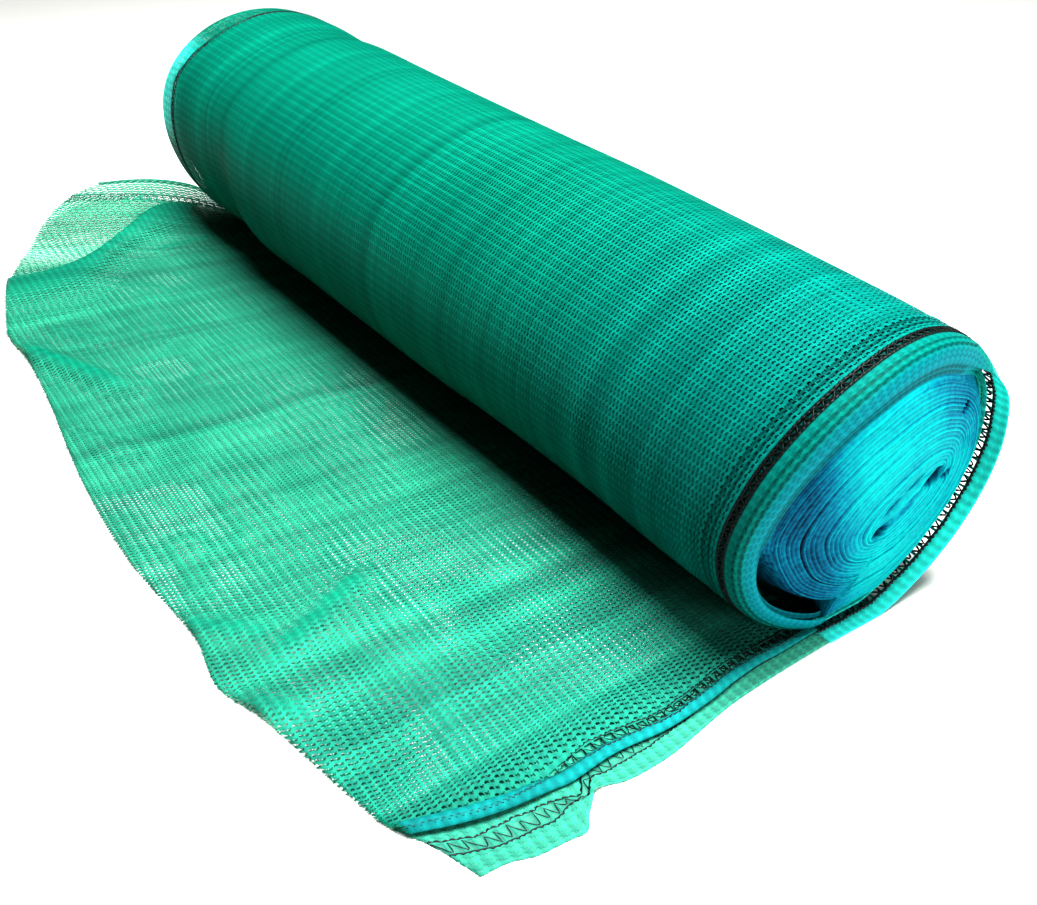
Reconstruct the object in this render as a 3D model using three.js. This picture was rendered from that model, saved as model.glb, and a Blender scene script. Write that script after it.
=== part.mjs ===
// Roll of debris netting: a knitted net, folded double lengthwise and wound on itself, lying
// on its side with the loose end spread on the floor in front of it.
//
// Millimetres. +X runs along the roll to its near end, -Y to the cut end of the loose net and
// +Z up. The origin is on the floor, in the flat spot under the middle of the roll.
import * as THREE from 'three';

// Cloth
const LAYER = 1.2;                      // one layer of net, with the air held in its loops
const LAYER_GAP = 0.6;                  // between the two layers of the doubled net
const STACK = 2 * LAYER + LAYER_GAP;    // the doubled net
const CLEAR = 0.3;                      // between the roll and the loose end

// Roll
const NEAR_X = 432;                     // where the roll's radius is measured
const NEAR_RADIUS = 99;
const TAPER = 0.0146;                   // growth of the radius for each millimetre towards the far end
const SAG = 3;                          // how far the roll's weight presses its round section flat
const STEP_Y = -18;                     // where the loose end leaves the roll, under it
const ANGLES = 60;                      // points around a ring
const TURN_STEP = STACK + CLEAR;        // the spiral comes in by this in one turn

// Angles run from the back of the roll (0) over its top (90) to its front (180), in degrees.
const STEP_ANGLE = THREE.MathUtils.radToDeg(Math.asin(STEP_Y / NEAR_RADIUS)) - 90;
const UPPER_BACK = 61;
const LOWER_FRONT = 223;

// How the winding is uneven along its length: what is added to the radius at the upper back
// and at the lower front. Near x = -300 the turns dip before the collar at the far end.
const UNEVEN = [
  { x: -455, back: -4.0, front: -2.0 },
  { x: -403, back: -0.6, front: 0.0 },
  { x: -360, back: 0.4, front: -1.5 },
  { x: -325, back: -1.0, front: -5.5 },
  { x: -300, back: -1.8, front: -7.0 },
  { x: -280, back: -0.8, front: -1.0 },
  { x: -258, back: 0.6, front: 4.0 },
  { x: -180, back: 0.4, front: 3.4 },
  { x: -60, back: 0.6, front: 3.0 },
  { x: 60, back: 1.4, front: 2.2 },
  { x: 150, back: 2.4, front: -0.6 },
  { x: 260, back: 1.6, front: -1.6 },
  { x: 340, back: 0.6, front: 0.4 },
  { x: 395, back: -0.4, front: 0.2 },
  { x: 432, back: -2.6, front: 0.0 },
];

// Where the eyelet band of the outer turn runs at the near end, by angle.
const NEAR_BAND = [
  { angle: -105, x: 420 },
  { angle: -60, x: 416 },
  { angle: -30, x: 418 },
  { angle: 0, x: 423 },
  { angle: 30, x: 428 },
  { angle: 75, x: 443 },
  { angle: 111, x: 450 },
  { angle: 135, x: 447 },
  { angle: 160, x: 438 },
  { angle: 190, x: 425 },
  { angle: 225, x: 416 },
  { angle: 262, x: 418 },
];

// Where the fold at the far end comes to, by angle.
const FAR_RIM = [
  { angle: -105, x: -450 },
  { angle: 0, x: -444 },
  { angle: 60, x: -437 },
  { angle: 95, x: -437 },
  { angle: 125, x: -446 },
  { angle: 157, x: -459 },
  { angle: 180, x: -457 },
  { angle: 205, x: -448 },
  { angle: 262, x: -450 },
];

// The near end in section, from the outer surface inwards: x from the band and depth below the
// outer surface. Each of the three sections has the band, the strip outside it, the strip's
// edge, the gap behind the strip and the turns inside it, in the same number of rows.

// Over the top and the front the strip is tucked over the end.
const TUCKED = [
  { x: -14, depth: 0 },
  { x: 0, depth: 0.2 },
  { x: 3.2, depth: 1.2 },
  { x: 5.8, depth: 4 },
  { x: 6.8, depth: 9 },
  { x: 6.4, depth: 13.5 },
  { x: 4.6, depth: 15 },
  { x: 4, depth: 16 },
  { x: 5.4, depth: 18 },
  { x: 6.4, depth: 23 },
];

// At the back it stands clear of the turns inside it.
const STANDING = [
  { x: -14, depth: 0 },
  { x: 0, depth: 0 },
  { x: 6, depth: 0 },
  { x: 11, depth: -0.2 },
  { x: 14, depth: -0.3 },
  { x: 14.2, depth: 2.4 },
  { x: 2, depth: 3.4 },
  { x: -8, depth: 5 },
  { x: -2, depth: 7.4 },
  { x: 6, depth: 13 },
];

// Low in front a crescent gap is left behind it.
const CRESCENT = [
  { x: -14, depth: 0 },
  { x: 0, depth: 0.2 },
  { x: 4, depth: 1.5 },
  { x: 7.5, depth: 4.5 },
  { x: 9.5, depth: 8 },
  { x: 9.2, depth: 10.4 },
  { x: -4, depth: 11.4 },
  { x: -22, depth: 14 },
  { x: 2, depth: 19.5 },
  { x: 14, depth: 25 },
];

// The far end in section: x from the rim and depth below the outer surface, from the band over
// the strip and the fold's edge to the gap and the turns inside it.
const FAR_END = [
  { x: 30, depth: 0 },
  { x: 12, depth: 0.4 },
  { x: 4, depth: 2.4 },
  { x: 0.5, depth: 6.5 },
  { x: 1.5, depth: 12 },
  { x: 9, depth: 15 },
  { x: 7, depth: 20 },
];

// The first turns are pressed flat, so the middle of each end is a slot between two eyes.
const NEAR_CORE = { x: 440, y: 16, z: 90, long: 30, short: 11, tilt: 33, eye: 15 };
const FAR_CORE = { x: -444, y: -4, z: 112, long: 30, short: 12, tilt: 20, eye: -12 };
const END_RINGS = [0.8, 0.55, 0.3, 0];  // rings from an end's border to its core
const DOME = 3;                         // how far an end's turns stand out halfway in

// The loose end: for each line of the net that runs off the roll, its x at the roll, its x and
// reach (-y) at the cut end, how it bows towards +X on the way, and the share of the far edge's
// lift that it takes.
const LINES = [
  { roll: 434, cut: 470, reach: 277, bow: -3, lift: 0 },
  { roll: 416, cut: 446, reach: 287, bow: -2, lift: 0 },
  { roll: 402, cut: 425, reach: 298, bow: -2, lift: 0 },
  { roll: 362, cut: 394, reach: 307, bow: 0, lift: 0 },
  { roll: 300, cut: 318, reach: 323, bow: 0, lift: 0 },
  { roll: 266, cut: 280, reach: 335, bow: 0, lift: 0 },
  { roll: 225, cut: 233, reach: 331, bow: 0, lift: 0 },
  { roll: 132, cut: 132, reach: 341, bow: 0, lift: 0 },
  { roll: 20, cut: 17, reach: 340, bow: 0, lift: 0 },
  { roll: -110, cut: -120, reach: 330, bow: 0, lift: 0 },
  { roll: -185, cut: -204, reach: 327, bow: 0, lift: 0 },
  { roll: -232, cut: -256, reach: 330, bow: 0, lift: 0 },
  { roll: -290, cut: -330, reach: 316, bow: 2, lift: 0 },
  { roll: -335, cut: -405, reach: 294, bow: 4, lift: 0 },
  { roll: -385, cut: -468, reach: 262, bow: 8, lift: 0.1 },
  { roll: -415, cut: -523, reach: 234, bow: 10, lift: 0.32 },
  { roll: -440, cut: -568, reach: 199, bow: 12, lift: 0.6 },
  { roll: -466, cut: -582, reach: 156, bow: 14, lift: 1 },
];
const FAR_EDGE = -466;                  // the fold, by its x at the roll
const NEAR_EDGE = 434;                  // the lower layer's selvedge

// Along the loose end, from the roll (0) to the cut end (1): the lift of the fold off the
// floor, the place and height of the big soft fold in the upper layer, the upper selvedge and
// how far its edge curls up.
const ALONG = [
  { way: 0.0, lift: 0, foldAt: -440, foldHigh: 0, upperEdge: 427, curl: 0 },
  { way: 0.12, lift: 1, foldAt: -440, foldHigh: 0, upperEdge: 427, curl: 0 },
  { way: 0.25, lift: 13, foldAt: -438, foldHigh: 2, upperEdge: 427, curl: 0 },
  { way: 0.4, lift: 25, foldAt: -432, foldHigh: 9, upperEdge: 428, curl: 0.5 },
  { way: 0.52, lift: 29, foldAt: -422, foldHigh: 14, upperEdge: 426, curl: 1 },
  { way: 0.62, lift: 30, foldAt: -393, foldHigh: 16, upperEdge: 428, curl: 1.5 },
  { way: 0.73, lift: 29, foldAt: -345, foldHigh: 14, upperEdge: 423, curl: 2.5 },
  { way: 0.85, lift: 26, foldAt: -327, foldHigh: 11, upperEdge: 411, curl: 4 },
  { way: 1.0, lift: 20, foldAt: -322, foldHigh: 8, upperEdge: 402, curl: 5 },
];

// The big fold in section: distance in from its edge, and share of its height.
const FOLD = [
  { inward: -7, high: 0 },
  { inward: -1, high: 0.4 },
  { inward: 5, high: 0.85 },
  { inward: 14, high: 1 },
  { inward: 28, high: 0.78 },
  { inward: 48, high: 0.36 },
  { inward: 80, high: 0 },
];

// Smaller creases that stand up in the upper layer, from one end to the other.
const CREASES = [
  { fromX: -226, fromY: -332, toX: -92, toY: -270, high: 7, wide: 15 },
  { fromX: 228, fromY: -213, toX: 280, toY: -306, high: 5, wide: 13 },
  { fromX: 214, fromY: -338, toX: 256, toY: -290, high: 4, wide: 13 },
  { fromX: 296, fromY: -330, toX: 330, toY: -300, high: 4, wide: 14 },
  { fromX: -180, fromY: -150, toX: 180, toY: -175, high: 3, wide: 34 },
  { fromX: 60, fromY: -250, toX: 380, toY: -235, high: 3, wide: 30 },
];

// The nick in the lower selvedge, where a short pleat pushes the strip outwards.
const NICK = { start: 0.735, full: 0.775, end: 1.0, out: 12, wide: 30, high: 5, pleatWide: 0.035 };

// Where the mesh has points: along the loose end, and across each of its layers.
const WAYS = [
  0, 0.06, 0.12, 0.19, 0.26, 0.33, 0.4, 0.46, 0.52, 0.57, 0.62, 0.67, 0.71, 0.735, 0.755, 0.775,
  0.82, 0.87, 0.91, 0.94, 0.97, 1,
];
const LOWER_ACROSS = [
  NEAR_EDGE, 426, 418, 408, 390, 330, 266, 190, 100, 0, -110, -230, -310, -370, -415, -445,
];
const UPPER_ACROSS = [
  -235, -205, -175, -145, -110, -75, -40, 0, 40, 80, 120, 160, 190, 215, 235, 255, 275, 300, 330, 360, 385,
];
const UPPER_RIM = [22, 10, 4, 0];       // distances in from the upper selvedge

const smooth = (at, from, to) => THREE.MathUtils.smoothstep(at, from, to);

// A smooth curve through one column of a table, by another column that only rises or falls.
function curve(table, key, column, at) {
  const rising = table[0][key] < table[table.length - 1][key];
  const rows = rising ? table : [...table].reverse();
  const clamped = THREE.MathUtils.clamp(at, rows[0][key], rows[rows.length - 1][key]);
  let i = 0;
  while (i < rows.length - 2 && clamped > rows[i + 1][key]) i += 1;
  const slope = (j) => {
    const a = rows[Math.max(j - 1, 0)];
    const b = rows[Math.min(j + 1, rows.length - 1)];
    return (b[column] - a[column]) / (b[key] - a[key]);
  };
  const span = rows[i + 1][key] - rows[i][key];
  const t = (clamped - rows[i][key]) / span;
  const t2 = t * t;
  const t3 = t2 * t;
  return (2 * t3 - 3 * t2 + 1) * rows[i][column] + (t3 - 2 * t2 + t) * span * slope(i)
    + (3 * t2 - 2 * t3) * rows[i + 1][column] + (t3 - t2) * span * slope(i + 1);
}

// A closed mesh from rings of points, each joined to the next, with caps of its own.
function meshOf(rings, capped) {
  const count = rings[0].length;
  const points = rings.flat();
  const faces = [];
  for (let i = 0; i + 1 < rings.length; i += 1) {
    for (let j = 0; j < count; j += 1) {
      const a = i * count + j;
      const b = i * count + (j + 1) % count;
      faces.push(a, b, b + count, a, b + count, a + count);
    }
  }
  capped(points, faces, count);
  const numbers = points.flatMap((point) => point.toArray());
  const geometry = new THREE.BufferGeometry();
  geometry.setAttribute('position', new THREE.Float32BufferAttribute(numbers, 3));
  geometry.setIndex(faces);
  geometry.computeVertexNormals();
  return geometry;
}

// The roll

const meanRadius = (x) => NEAR_RADIUS + TAPER * (NEAR_X - x);

// 1 at one angle, fading to 0 a quarter turn away.
const towards = (angle, centre) => Math.max(0, Math.cos(THREE.MathUtils.degToRad(angle - centre))) ** 2;

function radiusAt(x, angle) {
  const turn = (angle - STEP_ANGLE) / 360;
  return meanRadius(x) + TURN_STEP * (0.5 - turn)
    + towards(angle, UPPER_BACK) * curve(UNEVEN, 'x', 'back', x)
    + towards(angle, LOWER_FRONT) * curve(UNEVEN, 'x', 'front', x);
}

// A point at a depth below the roll's outer surface. Underneath, the round section is pressed
// flat: on the floor up to the step, and on the loose end past it.
function rollPoint(x, angle, depth) {
  const radius = radiusAt(x, angle) - depth;
  const turned = THREE.MathUtils.degToRad(angle);
  const centre = meanRadius(x) + TURN_STEP / 2 - SAG;
  const under = (angle < 90 ? 0 : STACK + CLEAR) + Math.max(depth, 0);
  const atStep = angle === STEP_ANGLE || angle === STEP_ANGLE + 360;
  const y = atStep ? STEP_Y : radius * Math.cos(turned);
  const z = atStep ? under : Math.max(centre + radius * Math.sin(turned), under);
  return new THREE.Vector3(x, y, z);
}

const angles = Array.from({ length: ANGLES + 1 }, (_, j) => (j < ANGLES
  ? STEP_ANGLE + (360 * j) / ANGLES : STEP_ANGLE + 360));

// How much of each near-end section an angle takes.
function nearShares(angle) {
  const standing = 1 - smooth(angle, 18, 62);
  const crescent = 1 - smooth(Math.abs(angle - 240), 26, 58);
  return { standing, crescent, tucked: 1 - standing - crescent };
}

function nearRing(row) {
  return angles.map((angle) => {
    const { standing, crescent, tucked } = nearShares(angle);
    const at = (column) => standing * STANDING[row][column] + crescent * CRESCENT[row][column]
      + tucked * TUCKED[row][column];
    return rollPoint(curve(NEAR_BAND, 'angle', 'x', angle) + at('x'), angle, at('depth'));
  });
}

// Rings from an end's border to the pressed core, then the floor of the core's two eyes.
function endRings(border, core) {
  const tilt = THREE.MathUtils.degToRad(core.tilt);
  const onCore = (angle, size, x) => {
    const a = THREE.MathUtils.degToRad(angle) - tilt;
    const along = core.long * size * Math.cos(a);
    const across = core.short * size * Math.sin(a);
    return new THREE.Vector3(
      x,
      core.y + along * Math.cos(tilt) - across * Math.sin(tilt),
      core.z + along * Math.sin(tilt) + across * Math.cos(tilt),
    );
  };
  const out = Math.sign(core.eye);
  const rings = END_RINGS.map((share) => border.map((edge, j) => {
    const point = onCore(angles[j], 1, core.x).lerp(edge, share);
    point.x += out * DOME * 4 * share * (1 - share);
    return point;
  }));
  rings.push(border.map((_, j) => {
    const eye = Math.cos(THREE.MathUtils.degToRad(angles[j]) - tilt) ** 2;
    return onCore(angles[j], 0.72, core.x - core.eye * eye);
  }));
  return rings;
}

function woundRoll() {
  const farEnd = FAR_END.map(({ x, depth }) => angles.map((angle) => (
    rollPoint(curve(FAR_RIM, 'angle', 'x', angle) + x, angle, depth))));
  const body = UNEVEN.slice(1, -1).map(({ x }) => angles.map((angle) => rollPoint(x, angle, 0)));
  const nearEnd = TUCKED.map((_, row) => nearRing(row));
  const farFace = endRings(farEnd[farEnd.length - 1], FAR_CORE);
  const nearFace = endRings(nearEnd[nearEnd.length - 1], NEAR_CORE);
  const rings = [...farFace.reverse(), ...farEnd.reverse(), ...body, ...nearEnd, ...nearFace];
  return meshOf(rings, (points, faces, count) => {
    const close = (ring, core, turned) => {
      const centre = points.length;
      points.push(new THREE.Vector3(core.x, core.y, core.z));
      for (let j = 0; j < count; j += 1) {
        const a = ring * count + j;
        const b = ring * count + (j + 1) % count;
        faces.push(...(turned ? [centre, a, b] : [centre, b, a]));
      }
    };
    close(0, FAR_CORE, false);
    close(rings.length - 1, NEAR_CORE, true);
  });
}

// The loose end

// The place on the floor of a line of the net, part of the way to the cut end.
function onFloor(line, way) {
  const at = (column) => curve(LINES, 'roll', column, line);
  const bowed = 4 * way * (1 - way) * at('bow');
  const start = STEP_Y - CLEAR;
  return {
    x: THREE.MathUtils.lerp(line, at('cut'), way) + bowed,
    y: start - way * (at('reach') + start),
    z: curve(ALONG, 'way', 'lift', way) * Math.max(0, at('lift')),
  };
}

// Height of the smaller creases over a place on the floor.
function creaseHeight(x, y) {
  return CREASES.reduce((sum, { fromX, fromY, toX, toY, high, wide }) => {
    const dx = toX - fromX;
    const dy = toY - fromY;
    const along = ((x - fromX) * dx + (y - fromY) * dy) / (dx * dx + dy * dy);
    const beside = ((x - fromX) * dy - (y - fromY) * dx) / Math.hypot(dx, dy);
    const ends = smooth(along, -0.1, 0.25) * (1 - smooth(along, 0.7, 1.15));
    return sum + high * ends * Math.exp(-((beside / wide) ** 2));
  }, 0);
}

// The nick's outward push and the height of its pleat, on the lower selvedge.
function nickAt(line, way) {
  const reach = 1 - smooth(NEAR_EDGE - line, 0, NICK.wide);
  const push = smooth(way, NICK.start, NICK.full) * (1 - smooth(way, NICK.full, NICK.end));
  const pleat = Math.exp(-(((way - NICK.full) / NICK.pleatWide) ** 2));
  return { out: NICK.out * push * reach, high: NICK.high * pleat * reach };
}

function lowerCentre(line, way) {
  const nick = nickAt(line, way);
  return { line, out: nick.out, high: LAYER / 2 + nick.high };
}

function upperCentres(way) {
  const at = (column) => curve(ALONG, 'way', column, way);
  const level = STACK - LAYER / 2;
  const foldEdge = at('foldAt');
  const foldRows = FOLD.map(({ inward, high }) => ({
    line: foldEdge + inward, out: 0, high: level + Math.max(0, at('foldHigh')) * high,
  }));
  const flapStart = FAR_EDGE + 3;
  const flapRows = [0, 0.35, 0.7].map((share) => ({
    line: THREE.MathUtils.lerp(flapStart, foldRows[0].line, share), out: 0, high: level,
  }));
  const off = smooth(way, 0.1, 0.45);
  const flatRows = UPPER_ACROSS.map((line) => {
    const { x, y } = onFloor(line, way);
    return { line, out: 0, high: level + off * creaseHeight(x, y) };
  });
  const rim = UPPER_RIM.map((inward) => ({
    line: at('upperEdge') - inward,
    out: 0,
    high: level + Math.max(0, at('curl')) * (1 - smooth(inward, 0, UPPER_RIM[0])),
  }));
  return [...flapRows, ...foldRows, ...flatRows, ...rim];
}

// One section across the loose end: the lower layer from its selvedge to the fold, round the
// fold, and the upper layer back to its own selvedge, as one closed outline.
function looseSection(way) {
  const lower = LOWER_ACROSS.map((line) => lowerCentre(line, way));
  const upper = upperCentres(way);
  const place = ({ line, out, high }) => {
    const floor = onFloor(line, way);
    return new THREE.Vector3(floor.x + out, floor.y, floor.z + high);
  };
  // Half a layer's thickness away from the layer's own middle, square to its slope.
  const shifted = (rows, side) => rows.map((row, i) => {
    const before = rows[Math.max(i - 1, 0)];
    const after = rows[Math.min(i + 1, rows.length - 1)];
    const run = after.line + after.out - before.line - before.out;
    const rise = after.high - before.high;
    const length = Math.hypot(run, rise) * Math.sign(run);
    const half = (side * LAYER) / 2;
    return place({
      line: row.line - (half * rise) / length, out: row.out, high: row.high + (half * run) / length,
    });
  });
  const fold = [
    { line: FAR_EDGE + 3, out: 0, high: 0 },
    { line: FAR_EDGE, out: 0, high: LAYER },
    { line: FAR_EDGE, out: 0, high: STACK - LAYER },
  ].map(place);
  const inFold = [
    { line: FAR_EDGE + 4.5, out: 0, high: STACK - LAYER },
    { line: FAR_EDGE + 4.5, out: 0, high: LAYER },
  ].map(place);
  return [
    ...shifted(lower, -1), ...fold, ...shifted(upper, 1),
    ...shifted(upper, -1).slice(1).reverse(), ...inFold, ...shifted(lower, 1).reverse(),
  ];
}

function looseEnd() {
  const rings = WAYS.map(looseSection).reverse();
  const counts = { lower: LOWER_ACROSS.length, fold: 3, upper: upperCentres(0).length };
  return meshOf(rings, (points, faces, count) => {
    // Each cap is a strip between a layer's two faces, with the fold between the two strips.
    const last = count - 1;
    const lowerStrip = [];
    for (let i = 0; i + 1 < counts.lower; i += 1) {
      lowerStrip.push([i, i + 1, last - i], [i + 1, last - i - 1, last - i]);
    }
    const foldStart = counts.lower;
    const upperTop = foldStart + counts.fold;
    const lowerInner = last - counts.lower + 1;
    const innerLow = lowerInner - 1;
    const innerHigh = lowerInner - 2;
    const foldStrip = [
      [foldStart - 1, foldStart, lowerInner], [foldStart, innerLow, lowerInner],
      [foldStart, foldStart + 1, innerLow], [foldStart + 1, foldStart + 2, innerLow],
      [foldStart + 2, innerHigh, innerLow], [foldStart + 2, upperTop, innerHigh],
      [upperTop, upperTop + 1, innerHigh], [upperTop + 1, innerHigh - 1, innerHigh],
    ];
    const upperStrip = [];
    for (let i = 1; i + 1 < counts.upper; i += 1) {
      const top = upperTop + i;
      const bottom = innerHigh - i;
      upperStrip.push([top, top + 1, bottom], [top + 1, bottom - 1, bottom]);
    }
    const cutEnd = [...lowerStrip, ...foldStrip, ...upperStrip];
    const atRoll = (rings.length - 1) * count;
    cutEnd.forEach(([a, b, c]) => faces.push(a, c, b));
    cutEnd.forEach(([a, b, c]) => faces.push(atRoll + a, atRoll + b, atRoll + c));
  });
}

const windingGreen = new THREE.MeshStandardMaterial({ color: 0x0fa98a, roughness: 0.62, metalness: 0 });
const looseGreen = new THREE.MeshStandardMaterial({ color: 0x4fd6ac, roughness: 0.66, metalness: 0 });

const netting = new THREE.Group();

const roll = new THREE.Mesh(woundRoll(), windingGreen);
roll.name = 'wound_roll';
netting.add(roll);

const loose = new THREE.Mesh(looseEnd(), looseGreen);
loose.name = 'loose_end';
netting.add(loose);

export default netting;
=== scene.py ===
# %% [markdown]
# # A roll of debris netting
#
# This net is knitted in one width of about two metres, folded double lengthwise and wound on
# itself. Here it lies on its side, with its cut end spread out on the floor. We dress the two
# CAD solids, `wound_roll` and `loose_end`, with the cloth that the real roll is made of: the
# turns seen at the ends, the outermost turn, the doubled loose end and its black eyelet bands.

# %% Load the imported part
import math
import random
import bpy
import numpy as np
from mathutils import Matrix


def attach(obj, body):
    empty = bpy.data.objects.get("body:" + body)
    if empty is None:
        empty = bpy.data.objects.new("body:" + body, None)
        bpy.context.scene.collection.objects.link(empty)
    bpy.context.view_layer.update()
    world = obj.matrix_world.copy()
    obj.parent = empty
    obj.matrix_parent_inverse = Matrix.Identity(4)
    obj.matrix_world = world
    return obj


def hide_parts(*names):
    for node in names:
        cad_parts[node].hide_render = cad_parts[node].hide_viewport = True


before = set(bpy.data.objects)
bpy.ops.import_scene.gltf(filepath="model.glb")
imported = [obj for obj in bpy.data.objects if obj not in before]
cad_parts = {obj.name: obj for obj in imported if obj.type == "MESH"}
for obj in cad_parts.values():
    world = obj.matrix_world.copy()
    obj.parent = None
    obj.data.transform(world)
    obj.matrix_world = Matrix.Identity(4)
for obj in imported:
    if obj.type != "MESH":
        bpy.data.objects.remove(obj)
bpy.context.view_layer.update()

# %% [markdown]
# ## Floor, light and camera
#
# The photo is lit from above: the roll's top is bright, its front side is in shade and the spread
# end glows. So the main softbox stands almost straight over the roll, a little towards its near
# end. A second softbox lights the turns at the near end. The floor is a plain pale grey that
# reads white in this light, and a display gamma below one gives the photo's strong contrast.

# %% Camera
CAMERA_PLACE = (0.800, -0.465, 0.454)
CAMERA_AZIMUTH = 57.71
CAMERA_PITCH = 30.64
PHOTO_FOCUS = 1200 / 1037               # focal length as a share of the picture's width
SENSOR_WIDTH = 36

bpy.ops.object.select_all(action="DESELECT")
bpy.ops.object.camera_add(
    location=CAMERA_PLACE,
    rotation=(math.radians(90 - CAMERA_PITCH), 0, math.radians(CAMERA_AZIMUTH)),
)
camera = bpy.context.object
camera.name = "camera"
camera.data.sensor_width = SENSOR_WIDTH
camera.data.lens = SENSOR_WIDTH * PHOTO_FOCUS
camera.data.clip_start = 0.01
bpy.context.scene.camera = camera
print("Lens in millimetres:", round(camera.data.lens, 2))


# %% Colours and nodes
def linear(hex_colour):
    """A colour written as sRGB hex, as the linear values that a shader reads."""
    parts = [int(hex_colour[i:i + 2], 16) / 255 for i in (0, 2, 4)]
    return [c / 12.92 if c <= 0.04045 else ((c + 0.055) / 1.055) ** 2.4 for c in parts] + [1]


def node(tree, kind, values=None, links=None, **settings):
    """One new node with its settings, its sockets' values and what feeds its other sockets."""
    new = tree.nodes.new(kind)
    for name, value in settings.items():
        setattr(new, name, value)
    for socket, value in (values or {}).items():
        new.inputs[socket].default_value = value
    for socket, source in (links or {}).items():
        tree.links.new(source, new.inputs[socket])
    return new


def new_material(name):
    """An empty node material."""
    material = bpy.data.materials.new(name)
    material.use_nodes = True
    material.node_tree.nodes.clear()
    return material


# %% Floor and lights
WORLD_STRENGTH = 0.06                   # little light from the sides, so the shade is deep
DISPLAY_GAMMA = 0.8

bpy.ops.mesh.primitive_plane_add(size=9, location=(0, 0, -0.0004))
floor = bpy.context.object
floor.name = "floor"
floor_paint = new_material("matt_pale_grey_paint")
tree = floor_paint.node_tree
paint = node(tree, "ShaderNodeBsdfPrincipled", {"Base Color": linear("c8c8c5"), "Roughness": 0.9})
node(tree, "ShaderNodeOutputMaterial", links={"Surface": paint.outputs["BSDF"]})
floor.data.materials.append(floor_paint)


def softbox(name, towards, distance, size, power):
    """A square area light that shines at the middle of the roll."""
    direction = np.array(towards) / np.linalg.norm(towards)
    place = direction * distance
    flat = math.hypot(direction[0], direction[1])
    turn = (math.atan2(flat, direction[2]), 0, math.atan2(direction[1], direction[0]) + math.pi / 2)
    bpy.ops.object.light_add(type="AREA", location=place, rotation=turn)
    light = bpy.context.object
    light.name = name
    light.data.shape = "SQUARE"
    light.data.size = size
    light.data.energy = power


softbox("key_softbox", (0.18, 0.02, 0.98), 2.6, 1.5, 290)
softbox("end_softbox", (0.97, 0.14, 0.20), 2.4, 0.7, 60)

world = bpy.data.worlds.new("studio")
world.use_nodes = True
world.node_tree.nodes["Background"].inputs["Color"].default_value = linear("ffffff")
world.node_tree.nodes["Background"].inputs["Strength"].default_value = WORLD_STRENGTH
bpy.context.scene.world = world
bpy.context.scene.view_settings.view_transform = "Standard"
bpy.context.scene.view_settings.gamma = DISPLAY_GAMMA

# %% [markdown]
# ## The form of the roll
#
# The outermost turn is not a plain cylinder. Its radius grows towards the far end and comes in
# by one thickness a turn. It swells and dips along its length, and its weight presses a flat
# spot under it. The same named sizes shaped the CAD solid, so the cloth follows them in
# millimetres. Angles run from the back of the roll (0) over its top (90) to its front (180).

# %% Sizes and curves of the roll
NEAR_X = 432
NEAR_RADIUS = 99
TAPER = 0.0146
SAG = 3                                 # how far the roll's weight lowers its middle
STEP_Y = -18                            # y where the loose end leaves the roll
TURN_STEP = 3.3                         # how much the radius drops in one turn
STEP_ANGLE = math.degrees(math.asin(STEP_Y / NEAR_RADIUS)) - 90

# x, what is added at the upper back, and at the lower front
UNEVEN = np.array([
    (-455, -4.0, -2.0), (-403, -0.6, 0.0), (-360, 0.4, -1.5), (-325, -1.0, -5.5),
    (-300, -1.8, -7.0), (-280, -0.8, -1.0), (-258, 0.6, 4.0), (-180, 0.4, 3.4),
    (-60, 0.6, 3.0), (60, 1.4, 2.2), (150, 2.4, -0.6), (260, 1.6, -1.6),
    (340, 0.6, 0.4), (395, -0.4, 0.2), (432, -2.6, 0.0),
])
# angle, x of the eyelet band of the outer turn at the near end
NEAR_BAND = np.array([
    (-105, 420), (-60, 416), (-30, 418), (0, 423), (30, 428), (75, 443), (111, 450),
    (135, 447), (160, 438), (190, 425), (225, 416), (262, 418),
])
# angle, x where the fold at the far end comes to
FAR_RIM = np.array([
    (-105, -450), (0, -444), (60, -437), (95, -437), (125, -446), (157, -459),
    (180, -457), (205, -448), (262, -450),
])
# angle, x of the eyelet band that runs beside the fold
FAR_BAND = np.array([
    (-105, -424), (0, -412), (60, -402), (91, -398), (109, -397), (126, -404), (140, -416),
    (153, -425), (168, -421), (183, -416), (205, -408), (262, -420),
])


def curve(keys, values, at):
    """A smooth curve through values at rising keys, level beyond both ends."""
    keys = np.asarray(keys, float)
    values = np.asarray(values, float)
    last = len(keys) - 1
    at = np.clip(at, keys[0], keys[last])
    i = np.clip(np.searchsorted(keys, at) - 1, 0, last - 1)
    before = np.maximum(np.arange(last + 1) - 1, 0)
    after = np.minimum(np.arange(last + 1) + 1, last)
    slope = (values[after] - values[before]) / (keys[after] - keys[before])
    span = keys[i + 1] - keys[i]
    t = (at - keys[i]) / span
    return ((2 * t**3 - 3 * t**2 + 1) * values[i] + (t**3 - 2 * t**2 + t) * span * slope[i]
            + (3 * t**2 - 2 * t**3) * values[i + 1] + (t**3 - t**2) * span * slope[i + 1])


def smooth(at, start, end):
    """0 before start, 1 after end, and a soft step between them."""
    t = np.clip((np.asarray(at, float) - start) / (end - start), 0, 1)
    return t * t * (3 - 2 * t)


def mean_radius(x):
    """The roll's radius at a place along it, before its swells and dips."""
    return NEAR_RADIUS + TAPER * (NEAR_X - x)


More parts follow.
